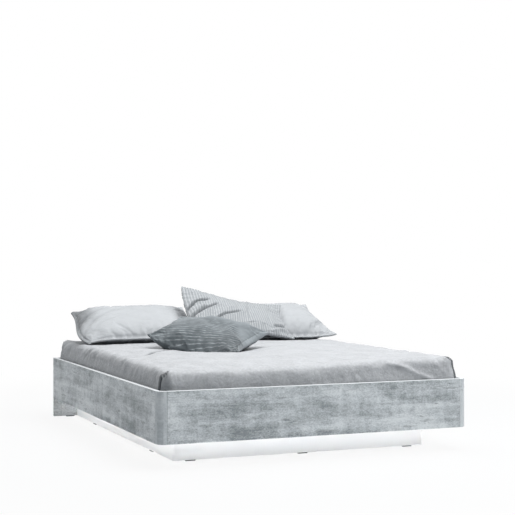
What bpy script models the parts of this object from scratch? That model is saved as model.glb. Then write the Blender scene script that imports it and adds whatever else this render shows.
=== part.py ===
"""A low double bed: concrete-effect frame floating over a lit white plinth, with its bedding.

Frame: metres, +Z up, origin on the floor under the middle of the bed.
-Y is the foot end, +Y the head end, +X the right side seen from the foot.
"""

import math

import bmesh
import bpy
from mathutils import Euler, Matrix, Vector

# The mattress sets the size of the bed: the frame's boards stand round it with a little play
MATTRESS_WIDTH = 1.590
MATTRESS_LENGTH = 2.028
MATTRESS_SIDE_PLAY = 0.008
MATTRESS_END_PLAY = 0.009

# Frame
BOARD = 0.022
BED_WIDTH = MATTRESS_WIDTH + 2 * (MATTRESS_SIDE_PLAY + BOARD)
BED_LENGTH = MATTRESS_LENGTH + 2 * (MATTRESS_END_PLAY + BOARD)
FRAME_BOTTOM = 0.117
FRAME_TOP = 0.363
CORNER_RADIUS = 0.045
EDGE_ROUNDING = 0.0008
GAP = 0.0003

# Glides under the boards that stand on the floor
GLIDE_LENGTH = 0.050
GLIDE_WIDTH = 0.016
GLIDE_HEIGHT = 0.005
GLIDE_ROUNDING = 0.0015
PLINTH_FRONT_GLIDE_INSET = 0.089
PLINTH_SIDE_GLIDE_FROM_FOOT = 0.356
PLINTH_SIDE_GLIDE_FROM_HEAD = 0.408
HEAD_GLIDE_INSET = 0.103

# Corner posts at the foot
CORNER_ARC_STEPS = 10
POST_LAP_LENGTH = 0.034
POST_LAP_THICKNESS = 0.018
POST_LAP_TOP = 0.240
POST_LAP_LIFT = 0.002

# Plinth
PLINTH_SIDE_INSET = 0.143
PLINTH_FOOT_INSET = 0.209
PLINTH_BOARD = 0.018
PLINTH_TOP = 0.150
PLINTH_CORNER_ROUNDING = 0.012
STRETCHER_BOTTOM = 0.050

# Timber that carries the slats
BEARER_WIDTH = 0.045
BEARER_HEIGHT = 0.055
BEARER_FROM_END = 0.340
LEDGER_WIDTH = 0.030
LEDGER_HEIGHT = 0.040
LEDGER_END_INSET = 0.030
TIMBER_ROUNDING = 0.002

# Steel centre beam and its hangers
BEAM_WIDTH = 0.060
BEAM_WALL = 0.002
BEAM_RADIUS = 0.005
BEAM_ARC_STEPS = 3
HANGER_WALL = 0.002
HANGER_DEPTH = 0.045
HANGER_EAR = 0.022
HANGER_CHEEK_SHARE = 0.7

# Slats
SLAT_COUNT = 14
SLAT_WIDTH = 0.070
SLAT_THICKNESS = 0.018
SLAT_END_PLAY = 0.008
SLAT_FROM_END = 0.060
SLAT_ROUNDING = 0.003

# Steel angles between the rails and the head panel
ANGLE_LEG = 0.040
ANGLE_WALL = 0.0025
ANGLE_HEIGHT = 0.060
ANGLE_BOTTOM = 0.145
ANGLE_FILLET = 0.006
ANGLE_ARC_STEPS = 4

# Light channels on the inner faces of the rails
CHANNEL_HEIGHT = 0.017
CHANNEL_DEPTH = 0.008
CHANNEL_WALL = 0.0012
CHANNEL_ABOVE_EDGE = 0.006
CHANNEL_END_INSET = 0.012
STRIP_WIDTH = 0.010
STRIP_THICKNESS = 0.0014
DIFFUSER_SEAT = 0.002
DIFFUSER_CROWN = 0.003
DIFFUSER_ARC_STEPS = 6

# Power supply for the light, inside the plinth
DRIVER_LENGTH = 0.165
DRIVER_WIDTH = 0.032
DRIVER_HEIGHT = 0.044
DRIVER_ROUNDING = 0.003
DRIVER_BOTTOM = 0.062
DRIVER_FROM_FOOT = 0.520
DRIVER_EAR_LENGTH = 0.018
DRIVER_EAR_THICKNESS = 0.003
DRIVER_EAR_HEIGHT = 0.024
GLAND_RADIUS = 0.009
GLAND_LENGTH = 0.016
GLAND_STEPS = 20
# Each pair is a share of the gland's length and a share of its radius
GLAND_PROFILE_SHARES = ((0.0, 1.0), (0.38, 1.0), (0.44, 0.82), (0.86, 0.74), (1.0, 0.52))

# Form of the mattress and the sheet over it
MATTRESS_HEIGHT = 0.200
MATTRESS_CORNER_RADIUS = 0.058
TOP_CORNER_RADIUS = 0.016
MATTRESS_EDGE_RADIUS = 0.048
MATTRESS_CROWN = 0.012
CROWN_POWER = 2.4
SIDE_BULGE = 0.002
SIDE_LEAN = 0.015
CORNER_STATIONS = 4
EDGE_STEPS = 3
SHEET_CLEARANCE = 0.0005
SHEET_THICKNESS = 0.002
SHEET_HEM_SHARE = 0.07
SIDE_LEVEL_SHARES = (0.3, 0.55, 0.78, 1.0)
TOP_RING_SHARES = (0.97, 0.9, 0.75, 0.5, 0.22)
FOLD_HALF_WIDTH = 0.011
FOLD_END_FADE = 0.35

# Folds of the sheet on each side, walking round anticlockwise seen from above.
# Each entry is the place at the hem and at the top edge, as shares of the straight side, and the
# fold's height.
FOOT_FOLD_SHARES = ((0.05, 0.035), (0.16, 0.10), (0.30, 0.22), (0.47, 0.40), (0.62, 0.66),
                    (0.80, 0.86), (0.93, 0.965))
FOOT_FOLD_HEIGHTS = (0.005, 0.003, 0.004, 0.003, 0.003, 0.004, 0.005)
RIGHT_FOLD_SHARES = ((0.12, 0.10), (0.45, 0.47), (0.80, 0.78))
RIGHT_FOLD_HEIGHTS = (0.003, 0.003, 0.003)
HEAD_FOLD_SHARES = ((0.10, 0.08), (0.90, 0.92))
HEAD_FOLD_HEIGHTS = (0.003, 0.003)
LEFT_FOLD_SHARES = ((0.14, 0.15), (0.34, 0.36), (0.52, 0.54), (0.70, 0.72), (0.86, 0.85),
                    (0.955, 0.965))
LEFT_FOLD_HEIGHTS = (0.003, 0.003, 0.003, 0.003, 0.003, 0.005)

# Pillows: sizes from corner to corner, crown thickness, how far the sides are drawn in between the
# corners, how far the corners stand up from the middle plane, and where the middle lies: from the
# mattress's nearer side as a share of its width, and from its head end
PILLOW_SEAM = 0.006
PILLOW_SEAT = 0.0006
PILLOW_ACROSS = 18
PILLOW_ALONG = 12
PILLOW_PROFILE_POWER = 2.3

SLEEPING_WIDTH_SHARE = 0.453
SLEEPING_WIDTH = MATTRESS_WIDTH * SLEEPING_WIDTH_SHARE
SLEEPING_DEPTH = 0.460
SLEEPING_THICKNESS = 0.188
SLEEPING_DRAWN_IN_SHARE = 0.025
SLEEPING_EDGE_POWER = 0.54
SLEEPING_CORNER_LIFT = 0.009
LEFT_FROM_SIDE_SHARE = 0.2667
LEFT_FROM_HEAD = 0.268
LEFT_RISE = 0.079
LEFT_TURN = (math.radians(20.5), 0.0, 0.0)
RIGHT_FROM_SIDE_SHARE = 0.2055
RIGHT_FROM_HEAD = 0.316
RIGHT_RISE = 0.087
RIGHT_TURN = (math.radians(15.0), math.radians(-4.0), 0.0)

RIBBED_WIDTH = 0.660
RIBBED_DEPTH = 0.420
RIBBED_THICKNESS = 0.115
RIBBED_UNDERSIDE = 0.042
RIBBED_DRAWN_IN_SHARE = 0.11
RIBBED_EDGE_POWER = 0.66
RIBBED_CORNER_LIFT = 0.006
RIBBED_FROM_SIDE_SHARE = 0.3648
RIBBED_FROM_HEAD = 0.409
RIBBED_RISE = 0.156
RIBBED_TURN = (math.radians(28.5), math.radians(10.0), math.radians(-5.3))

STRIPED_WIDTH = 0.560
STRIPED_DEPTH = 0.390
STRIPED_THICKNESS = 0.156
STRIPED_DRAWN_IN_SHARE = 0.02
STRIPED_EDGE_POWER = 0.50
STRIPED_CORNER_LIFT = 0.024
STRIPED_FROM_SIDE_SHARE = 0.3836
STRIPED_FROM_HEAD = 0.989
STRIPED_RISE = 0.052
STRIPED_TURN = (math.radians(11.8), math.radians(8.1), math.radians(-46.0))

# Places worked out from the sizes above
HALF_WIDTH = BED_WIDTH / 2
HALF_LENGTH = BED_LENGTH / 2
RAIL_INNER_X = HALF_WIDTH - BOARD
FOOT_INNER_Y = -HALF_LENGTH + BOARD
HEAD_INNER_Y = HALF_LENGTH - BOARD
PLINTH_OUTER_X = HALF_WIDTH - PLINTH_SIDE_INSET
PLINTH_INNER_X = PLINTH_OUTER_X - PLINTH_BOARD
PLINTH_FRONT_Y = -HALF_LENGTH + PLINTH_FOOT_INSET
STANDING_BOTTOM = GLIDE_HEIGHT + GAP
BEARER_BOTTOM = PLINTH_TOP + GAP
SUPPORT_BOTTOM = BEARER_BOTTOM + BEARER_HEIGHT + GAP
SUPPORT_TOP = SUPPORT_BOTTOM + LEDGER_HEIGHT
SLAT_BOTTOM = SUPPORT_TOP + GAP
MATTRESS_BOTTOM = SLAT_BOTTOM + SLAT_THICKNESS + GAP
MATTRESS_TOP_EDGE = MATTRESS_BOTTOM + MATTRESS_HEIGHT
SHEET_OUTSIDE = SHEET_CLEARANCE + SHEET_THICKNESS
BEDDING_TOP_X = MATTRESS_WIDTH / 2 + SHEET_OUTSIDE - SIDE_LEAN - MATTRESS_EDGE_RADIUS
BEDDING_TOP_Y = MATTRESS_LENGTH / 2 + SHEET_OUTSIDE - SIDE_LEAN - MATTRESS_EDGE_RADIUS
BEDDING_TOP = MATTRESS_TOP_EDGE + SHEET_OUTSIDE + MATTRESS_CROWN

# Colours as red, green and blue, then roughness and how metallic
FINISHES = {
    "concrete_laminate": ((0.42, 0.44, 0.45), 0.55, 0.0),
    "white_laminate": ((0.86, 0.87, 0.88), 0.40, 0.0),
    "glide_plastic": ((0.06, 0.06, 0.06), 0.50, 0.0),
    "pine": ((0.72, 0.56, 0.36), 0.60, 0.0),
    "beam_steel": ((0.30, 0.31, 0.32), 0.40, 1.0),
    "zinc_steel": ((0.55, 0.56, 0.57), 0.35, 1.0),
    "channel_aluminium": ((0.75, 0.76, 0.77), 0.30, 1.0),
    "strip_board": ((0.85, 0.84, 0.78), 0.45, 0.0),
    "opal_diffuser": ((0.95, 0.96, 0.98), 0.35, 0.0),
    "driver_plastic": ((0.80, 0.80, 0.78), 0.45, 0.0),
    "gland_plastic": ((0.08, 0.08, 0.09), 0.45, 0.0),
    "mattress_ticking": ((0.82, 0.82, 0.80), 0.85, 0.0),
    "satin_sheet": ((0.60, 0.62, 0.64), 0.45, 0.0),
    "plain_cotton": ((0.62, 0.64, 0.66), 0.75, 0.0),
    "ribbed_cotton": ((0.56, 0.58, 0.60), 0.80, 0.0),
    "striped_weave": ((0.28, 0.30, 0.32), 0.75, 0.0),
}


def clear_scene():
    """Remove whatever the open file holds."""
    for old in list(bpy.data.objects):
        bpy.data.objects.remove(old, do_unlink=True)


def finish(name):
    """The named material, made on first use."""
    material = bpy.data.materials.get(name)
    if material is None:
        colour, roughness, metallic = FINISHES[name]
        material = bpy.data.materials.new(name)
        material.use_nodes = True
        shader = material.node_tree.nodes["Principled BSDF"]
        shader.inputs["Base Color"].default_value = (*colour, 1.0)
        shader.inputs["Roughness"].default_value = roughness
        shader.inputs["Metallic"].default_value = metallic
    return material


def add_piece(name, shape, material, location=(0, 0, 0), rotation=(0, 0, 0), parent=None):
    """Turn a bmesh into a named object with its own material, and place it."""
    mesh = bpy.data.meshes.new(name)
    bmesh.ops.recalc_face_normals(shape, faces=shape.faces)
    shape.to_mesh(mesh)
    shape.free()
    piece = bpy.data.objects.new(name, mesh)
    bpy.context.scene.collection.objects.link(piece)
    mesh.materials.append(finish(material))
    piece.location = location
    piece.rotation_euler = rotation
    piece.parent = parent
    return piece


def add_group(name, location=(0, 0, 0)):
    """An empty that carries the pieces of one assembly."""
    group = bpy.data.objects.new(name, None)
    group.location = location
    bpy.context.scene.collection.objects.link(group)
    return group


def box_shape(size_x, size_y, size_z):
    """A box centred on the origin in X and Y, standing on Z = 0."""
    shape = bmesh.new()
    middle = Matrix.Translation((0, 0, size_z / 2))
    bmesh.ops.create_cube(shape, size=1, matrix=middle @ Matrix.Diagonal((size_x, size_y, size_z, 1)))
    return shape


def prism_shape(outline, height):
    """An outline in X and Y, extruded up from Z = 0."""
    shape = bmesh.new()
    floor = shape.faces.new([shape.verts.new((x, y, 0)) for x, y in outline])
    raised = bmesh.ops.extrude_face_region(shape, geom=[floor])
    upper = [item for item in raised["geom"] if isinstance(item, bmesh.types.BMVert)]
    bmesh.ops.translate(shape, verts=upper, vec=(0, 0, height))
    return shape


def soften(piece, width, segments=1):
    """Round the sharp edges of a hard piece."""
    bevel = piece.modifiers.new("edge rounding", "BEVEL")
    bevel.width = width
    bevel.segments = segments
    bevel.limit_method = "ANGLE"
    bevel.angle_limit = math.radians(50)
    return bevel


def fuse(piece, other):
    """Join another object's shape to a piece with a Boolean union, and drop the other object."""
    union = piece.modifiers.new("union", "BOOLEAN")
    union.operation = "UNION"
    union.object = other
    other.hide_render = True
    other.display_type = "WIRE"
    other.parent = piece.parent
    return union


def smooth(piece, angle=math.radians(35)):
    """Shade the round faces smoothly and keep the creases."""
    piece.data.shade_smooth()
    piece.data.set_sharp_from_angle(angle=angle)


def arc(centre, radius, start, end, steps):
    """Points along an arc, both ends included, angles in radians."""
    points = []
    for step in range(steps + 1):
        angle = start + (end - start) * step / steps
        points.append((centre[0] + radius * math.cos(angle), centre[1] + radius * math.sin(angle)))
    return points


def add_board(name, low, high, material, rounding=EDGE_ROUNDING, parent=None, segments=1):
    """A straight board between two corners."""
    size = [high[axis] - low[axis] for axis in range(3)]
    place = ((low[0] + high[0]) / 2, (low[1] + high[1]) / 2, low[2])
    board = add_piece(name, box_shape(*size), material, location=place, parent=parent)
    soften(board, rounding, segments)
    return board


def build_frame(group):
    """The foot panel, side rails, rounded corner posts and head panel."""
    panel_half = HALF_WIDTH - CORNER_RADIUS - GAP
    add_board("foot_panel", (-panel_half, -HALF_LENGTH, FRAME_BOTTOM),
              (panel_half, FOOT_INNER_Y, FRAME_TOP), "concrete_laminate", parent=group)
    add_board("head_panel", (-HALF_WIDTH, HEAD_INNER_Y, STANDING_BOTTOM),
              (HALF_WIDTH, HALF_LENGTH, FRAME_TOP), "concrete_laminate", parent=group)
    rail_foot = -HALF_LENGTH + CORNER_RADIUS + GAP
    rail_head = HEAD_INNER_Y - GAP
    add_board("side_rail_left", (-HALF_WIDTH, rail_foot, FRAME_BOTTOM),
              (-RAIL_INNER_X, rail_head, FRAME_TOP), "concrete_laminate", parent=group)
    add_board("side_rail_right", (RAIL_INNER_X, rail_foot, FRAME_BOTTOM),
              (HALF_WIDTH, rail_head, FRAME_TOP), "concrete_laminate", parent=group)
    build_corner_post("corner_post_left", (-HALF_WIDTH, -HALF_LENGTH), 0.0, group)
    build_corner_post("corner_post_right", (HALF_WIDTH, -HALF_LENGTH), math.pi / 2, group)


def build_corner_post(name, corner, turn, group):
    """A quarter-round post, with a lower block whose two laps hold the boards' ends."""
    centre = (CORNER_RADIUS, CORNER_RADIUS)
    outer = arc(centre, CORNER_RADIUS, math.pi, 1.5 * math.pi, CORNER_ARC_STEPS)
    inner = arc(centre, CORNER_RADIUS - BOARD, 1.5 * math.pi, math.pi, CORNER_ARC_STEPS)
    place = (corner[0], corner[1], FRAME_BOTTOM)
    post = add_piece(name, prism_shape(outer + inner, FRAME_TOP - FRAME_BOTTOM), "concrete_laminate",
                     location=place, rotation=(0, 0, turn), parent=group)
    soften(post, EDGE_ROUNDING)
    near = BOARD + GAP
    far = near + POST_LAP_THICKNESS
    reach = CORNER_RADIUS + POST_LAP_LENGTH
    block_outline = [(near, near), (reach, near), (reach, far), (far, far), (far, reach), (near, reach)]
    block_bottom = FRAME_BOTTOM + POST_LAP_LIFT
    block = add_piece(f"{name}_block", prism_shape(block_outline, POST_LAP_TOP - block_bottom),
                      "concrete_laminate", location=(corner[0], corner[1], block_bottom),
                      rotation=(0, 0, turn))
    fuse(post, block)
    smooth(post)


def build_plinth(group):
    """The recessed white plinth: a front board with rounded ends, two sides and a stretcher."""
    height = PLINTH_TOP - STANDING_BOTTOM
    front = add_piece("plinth_front", box_shape(2 * PLINTH_OUTER_X, PLINTH_BOARD, height),
                      "white_laminate", location=(0, PLINTH_FRONT_Y + PLINTH_BOARD / 2, STANDING_BOTTOM),
                      parent=group)
    round_front_corners(front)
    side_foot = PLINTH_FRONT_Y + PLINTH_BOARD + GAP
    side_head = HEAD_INNER_Y - GAP
    for side, sign in (("left", -1), ("right", 1)):
        near, far = sorted((sign * PLINTH_INNER_X, sign * PLINTH_OUTER_X))
        add_board(f"plinth_{side}", (near, side_foot, STANDING_BOTTOM), (far, side_head, PLINTH_TOP),
                  "white_laminate", parent=group)
    half = PLINTH_BOARD / 2
    middle = (side_foot + side_head) / 2
    add_board("plinth_stretcher", (-PLINTH_INNER_X + GAP, middle - half, STRETCHER_BOTTOM),
              (PLINTH_INNER_X - GAP, middle + half, PLINTH_TOP), "white_laminate", parent=group)


def round_front_corners(front):
    """Round the two upright outer edges of the plinth's front board."""
    shape = bmesh.new()
    shape.from_mesh(front.data)
    front_y = min(vert.co.y for vert in shape.verts)
    upright = [edge for edge in shape.edges
               if all(abs(vert.co.y - front_y) < GAP for vert in edge.verts)
               and abs(edge.verts[0].co.z - edge.verts[1].co.z) > PLINTH_BOARD]
    bmesh.ops.bevel(shape, geom=upright, offset=PLINTH_CORNER_ROUNDING, segments=6, profile=0.5,
                    affect="EDGES")
    shape.to_mesh(front.data)
    shape.free()
    smooth(front)


def build_glides(group):
    """Plastic pads nailed along the lower edges of the plinth and the head panel."""
    along_x = (GLIDE_LENGTH, GLIDE_WIDTH)
    along_y = (GLIDE_WIDTH, GLIDE_LENGTH)
    front_y = PLINTH_FRONT_Y + PLINTH_BOARD / 2
    front_x = PLINTH_OUTER_X - PLINTH_FRONT_GLIDE_INSET
    side_x = PLINTH_OUTER_X - PLINTH_BOARD / 2
    side_foot_y = PLINTH_FRONT_Y + PLINTH_SIDE_GLIDE_FROM_FOOT
    side_head_y = HEAD_INNER_Y - PLINTH_SIDE_GLIDE_FROM_HEAD
    head_y = HALF_LENGTH - BOARD / 2
    head_x = HALF_WIDTH - HEAD_GLIDE_INSET
    places = (
        ("glide_front_left", -front_x, front_y, along_x),
        ("glide_front_middle", 0, front_y, along_x),
        ("glide_front_right", front_x, front_y, along_x),
        ("glide_left_foot", -side_x, side_foot_y, along_y),
        ("glide_left_head", -side_x, side_head_y, along_y),
        ("glide_right_foot", side_x, side_foot_y, along_y),
        ("glide_right_head", side_x, side_head_y, along_y),
        ("glide_head_left", -head_x, head_y, along_x),
        ("glide_head_right", head_x, head_y, along_x),
    )
    for name, x, y, (size_x, size_y) in places:
        pad = add_piece(name, box_shape(size_x, size_y, GLIDE_HEIGHT), "glide_plastic",
                        location=(x, y, 0), parent=group)
        soften(pad, GLIDE_ROUNDING, segments=2)


def build_slat_support(group):
    """Cross bearers on the plinth, ledgers on the rails, the centre beam and its hangers."""
    reach = RAIL_INNER_X - GAP
    foot_y = PLINTH_FRONT_Y + BEARER_FROM_END - BEARER_WIDTH
    head_y = HEAD_INNER_Y - BEARER_FROM_END
    for name, y in (("bearer_foot", foot_y), ("bearer_middle", (foot_y + head_y) / 2),
                    ("bearer_head", head_y)):
        add_board(name, (-reach, y, BEARER_BOTTOM), (reach, y + BEARER_WIDTH, BEARER_BOTTOM + BEARER_HEIGHT),
                  "pine", rounding=TIMBER_ROUNDING, parent=group)
    ledger_foot = -HALF_LENGTH + CORNER_RADIUS + POST_LAP_LENGTH + LEDGER_END_INSET
    ledger_head = HEAD_INNER_Y - LEDGER_END_INSET
    for side, sign in (("left", -1), ("right", 1)):
        near, far = sorted((sign * reach, sign * (reach - LEDGER_WIDTH)))
        add_board(f"ledger_{side}", (near, ledger_foot, SUPPORT_BOTTOM), (far, ledger_head, SUPPORT_TOP),
                  "pine", rounding=TIMBER_ROUNDING, parent=group)
    build_centre_beam(group)
    build_hanger("beam_hanger_foot", FOOT_INNER_Y + GAP, 0.0, group)
    build_hanger("beam_hanger_head", HEAD_INNER_Y - GAP, math.pi, group)


def rounded_rectangle(width, height, radius, steps):
    """The outline of a rectangle with round corners, centred on the origin."""
    outline = []
    for quarter, (sign_x, sign_y) in enumerate(((1, 1), (-1, 1), (-1, -1), (1, -1))):
        centre = (sign_x * (width / 2 - radius), sign_y * (height / 2 - radius))
        start = quarter * math.pi / 2
        outline += arc(centre, radius, start, start + math.pi / 2, steps)
    return outline


def build_centre_beam(group):
    """A rectangular steel tube from hanger to hanger, open at both ends."""
    start = FOOT_INNER_Y + HANGER_WALL + 2 * GAP
    length = HEAD_INNER_Y - HANGER_WALL - 2 * GAP - start
    outer = rounded_rectangle(BEAM_WIDTH, LEDGER_HEIGHT, BEAM_RADIUS, BEAM_ARC_STEPS)
    inner = rounded_rectangle(BEAM_WIDTH - 2 * BEAM_WALL, LEDGER_HEIGHT - 2 * BEAM_WALL,
                              BEAM_RADIUS - BEAM_WALL, BEAM_ARC_STEPS)
    shape = bmesh.new()
    loops = []
    for outline in (outer, inner):
        for y in (0, length):
            loops.append([shape.verts.new((x, y, z)) for x, z in outline])
    outer_foot, outer_head, inner_foot, inner_head = loops
    for first, second in ((outer_foot, outer_head), (outer_head, inner_head),
                          (inner_head, inner_foot), (inner_foot, outer_foot)):
        for index in range(len(first)):
            after = (index + 1) % len(first)
            shape.faces.new((first[index], first[after], second[after], second[index]))
    beam = add_piece("centre_beam", shape, "beam_steel",
                     location=(0, start, SUPPORT_BOTTOM + LEDGER_HEIGHT / 2), parent=group)
    smooth(beam)


def build_hanger(name, y, turn, group):
    """A folded steel pocket: a back plate on the panel and a cradle that holds the beam's end."""
    half = BEAM_WIDTH / 2 + GAP
    cheek = LEDGER_HEIGHT * HANGER_CHEEK_SHARE
    plate_half = half + HANGER_WALL + HANGER_EAR
    bottom = SUPPORT_BOTTOM - GAP - HANGER_WALL
    plate = add_piece(name, box_shape(2 * plate_half, HANGER_WALL, LEDGER_HEIGHT), "zinc_steel",
                      location=(0, y + math.cos(turn) * HANGER_WALL / 2, bottom), parent=group)
    outline = [(-half - HANGER_WALL, 0), (half + HANGER_WALL, 0), (half + HANGER_WALL, cheek),
               (half, cheek), (half, HANGER_WALL), (-half, HANGER_WALL), (-half, cheek),
               (-half - HANGER_WALL, cheek)]
    cradle = add_piece(f"{name}_cradle", prism_shape(outline, HANGER_DEPTH), "zinc_steel",
                       location=(0, y + math.cos(turn) * HANGER_WALL / 2, bottom),
                       rotation=(math.pi / 2, 0, math.pi + turn))
    fuse(plate, cradle)


def build_slats(group):
    """Flat slats across the bed, resting on the ledgers and the beam."""
    half = RAIL_INNER_X - SLAT_END_PLAY
    first = FOOT_INNER_Y + SLAT_FROM_END + SLAT_WIDTH / 2
    last = HEAD_INNER_Y - SLAT_FROM_END - SLAT_WIDTH / 2
    for index in range(SLAT_COUNT):
        y = first + (last - first) * index / (SLAT_COUNT - 1)
        add_board(f"slat_{index + 1:02d}", (-half, y - SLAT_WIDTH / 2, SLAT_BOTTOM),
                  (half, y + SLAT_WIDTH / 2, SLAT_BOTTOM + SLAT_THICKNESS), "pine",
                  rounding=SLAT_ROUNDING, parent=group, segments=2)


def build_head_angles(group):
    """Steel angles that tie the side rails to the head panel, below the ledgers."""
    fillet_centre = (ANGLE_WALL + ANGLE_FILLET, ANGLE_WALL + ANGLE_FILLET)
    fillet = arc(fillet_centre, ANGLE_FILLET, 1.5 * math.pi, math.pi, ANGLE_ARC_STEPS)
    outline = [(0, 0), (ANGLE_LEG, 0), (ANGLE_LEG, ANGLE_WALL), *fillet, (ANGLE_WALL, ANGLE_LEG),
               (0, ANGLE_LEG)]
    corner_x = RAIL_INNER_X - GAP
    corner_y = HEAD_INNER_Y - GAP
    for name, x, turn in (("head_angle_left", -corner_x, -math.pi / 2),
                          ("head_angle_right", corner_x, math.pi)):
        angle = add_piece(name, prism_shape(outline, ANGLE_HEIGHT), "zinc_steel",
                          location=(x, corner_y, ANGLE_BOTTOM), rotation=(0, 0, turn), parent=group)
        smooth(angle)


def run_prism(name, section, length, material, place, turn, group):
    """A section in depth and height, extruded along the rail that carries it."""
    shape = prism_shape([(depth, height) for depth, height in section], length)
    upright = Matrix.Rotation(math.pi / 2, 4, "X")
    bmesh.ops.transform(shape, matrix=upright, verts=shape.verts)
    bmesh.ops.translate(shape, vec=(0, length / 2, 0), verts=shape.verts)
    piece = add_piece(name, shape, material, location=place, rotation=(0, 0, turn), parent=group)
    smooth(piece)


def diffuser_section():
    """A snap-in strip of opal plastic whose outer face is a shallow arc."""
    low = CHANNEL_WALL + GAP
    high = CHANNEL_HEIGHT - CHANNEL_WALL - GAP
    half = (high - low) / 2
    radius = (half * half + DIFFUSER_CROWN * DIFFUSER_CROWN) / (2 * DIFFUSER_CROWN)
    sweep = math.asin(half / radius)
    centre = (CHANNEL_DEPTH + DIFFUSER_CROWN - radius, (low + high) / 2)
    back = CHANNEL_DEPTH - DIFFUSER_SEAT
    return [(back, high), (back, low), *arc(centre, radius, -sweep, sweep, DIFFUSER_ARC_STEPS)]


def build_light_run(side, place, turn, length, group):
    """One light: an aluminium channel, the light strip on its back wall and the opal diffuser."""
    wall = CHANNEL_WALL
    channel = [(0, 0), (CHANNEL_DEPTH, 0), (CHANNEL_DEPTH, wall), (wall, wall),
               (wall, CHANNEL_HEIGHT - wall), (CHANNEL_DEPTH, CHANNEL_HEIGHT - wall),
               (CHANNEL_DEPTH, CHANNEL_HEIGHT), (0, CHANNEL_HEIGHT)]
    middle = CHANNEL_HEIGHT / 2
    strip_back = wall + GAP
    strip_front = strip_back + STRIP_THICKNESS
    strip = [(strip_back, middle - STRIP_WIDTH / 2), (strip_front, middle - STRIP_WIDTH / 2),
             (strip_front, middle + STRIP_WIDTH / 2), (strip_back, middle + STRIP_WIDTH / 2)]
    run_prism(f"light_channel_{side}", channel, length, "channel_aluminium", place, turn, group)
    run_prism(f"light_strip_{side}", strip, length - 2 * CHANNEL_END_INSET, "strip_board", place, turn,
              group)
    run_prism(f"light_diffuser_{side}", diffuser_section(), length, "opal_diffuser", place, turn, group)


def build_lights(group):
    """Light channels along the inner lower edge of both rails and the foot panel."""
    z = FRAME_BOTTOM + CHANNEL_ABOVE_EDGE
    post_reach = CORNER_RADIUS + POST_LAP_LENGTH + CHANNEL_END_INSET
    foot = -HALF_LENGTH + post_reach
    head = HEAD_INNER_Y - CHANNEL_END_INSET
    side_y = (foot + head) / 2
    side_x = RAIL_INNER_X - GAP
    build_light_run("left", (-side_x, side_y, z), 0.0, head - foot, group)
    build_light_run("right", (side_x, side_y, z), math.pi, head - foot, group)
    build_light_run("foot", (0, FOOT_INNER_Y + GAP, z), math.pi / 2, 2 * (HALF_WIDTH - post_reach), group)


def build_driver(group):
    """The light's power supply on the inner face of the left plinth board, and its cord gland."""
    face_x = -PLINTH_INNER_X + GAP
    middle_y = PLINTH_FRONT_Y + DRIVER_FROM_FOOT
    driver = add_piece("light_driver", box_shape(DRIVER_WIDTH, DRIVER_LENGTH, DRIVER_HEIGHT),
                       "driver_plastic", location=(face_x + DRIVER_WIDTH / 2, middle_y, DRIVER_BOTTOM),
                       parent=group)
    soften(driver, DRIVER_ROUNDING, segments=2)
    ear_z = DRIVER_BOTTOM + (DRIVER_HEIGHT - DRIVER_EAR_HEIGHT) / 2
    ear_run = DRIVER_LENGTH + 2 * DRIVER_EAR_LENGTH
    ears = add_piece("light_driver_ears", box_shape(DRIVER_EAR_THICKNESS, ear_run, DRIVER_EAR_HEIGHT),
                     "driver_plastic",
                     location=(face_x + DRIVER_EAR_THICKNESS / 2, middle_y, ear_z))
    fuse(driver, ears)
    profile = [(0, 0)]
    profile += [(GLAND_RADIUS * radius, GLAND_LENGTH * along) for along, radius in GLAND_PROFILE_SHARES]
    profile.append((0, GLAND_LENGTH))
    shape = bmesh.new()
    rim = [shape.verts.new((radius, 0, along)) for radius, along in profile]
    edges = [shape.edges.new((rim[index], rim[index + 1])) for index in range(len(rim) - 1)]
    bmesh.ops.spin(shape, geom=rim + edges, cent=(0, 0, 0), axis=(0, 0, 1), angle=2 * math.pi,
                   steps=GLAND_STEPS, use_merge=True)
    bmesh.ops.remove_doubles(shape, verts=shape.verts, dist=GLAND_RADIUS / 1000)
    gland = add_piece("cord_gland", shape, "gland_plastic",
                      location=(face_x + DRIVER_WIDTH / 2, middle_y + DRIVER_LENGTH / 2 + GAP,
                                DRIVER_BOTTOM + DRIVER_HEIGHT / 2),
                      rotation=(-math.pi / 2, 0, 0), parent=group)
    smooth(gland)


def side_stations(fold_shares, fold_heights):
    """Stations along one straight side: three for each fold, as (hem share, top share, offset, height)."""
    stations = []
    for (hem_share, top_share), height in zip(fold_shares, fold_heights):
        stations.append((hem_share, top_share, -FOLD_HALF_WIDTH, 0.0))
        stations.append((hem_share, top_share, 0.0, height))
        stations.append((hem_share, top_share, FOLD_HALF_WIDTH, 0.0))
    return stations


def bedding_ring(half_x, half_y, radius, rise_share, fold_share):
    """One closed ring round the bedding at a share of the way from the hem to the top edge."""
    sides = (
        ((-half_x + radius, -half_y), (half_x - radius, -half_y), FOOT_FOLD_SHARES, FOOT_FOLD_HEIGHTS),
        ((half_x, -half_y + radius), (half_x, half_y - radius), RIGHT_FOLD_SHARES, RIGHT_FOLD_HEIGHTS),
        ((half_x - radius, half_y), (-half_x + radius, half_y), HEAD_FOLD_SHARES, HEAD_FOLD_HEIGHTS),
        ((-half_x, half_y - radius), (-half_x, -half_y + radius), LEFT_FOLD_SHARES, LEFT_FOLD_HEIGHTS),
    )
    ring = []
    for quarter, (start, end, fold_shares, fold_heights) in enumerate(sides):
        start, end = Vector(start), Vector(end)
        along = (end - start).normalized()
        outward = Vector((along.y, -along.x))
        for hem_share, top_share, offset, height in side_stations(fold_shares, fold_heights):
            share = hem_share + (top_share - hem_share) * rise_share
            ring.append(start.lerp(end, share) + along * offset + outward * height * fold_share)
        centre = end - outward * radius
        first = (quarter - 1) * math.pi / 2
        for x, y in arc(centre, radius, first, first + math.pi / 2, CORNER_STATIONS):
            ring.append(Vector((x, y)))
    return ring


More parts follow.
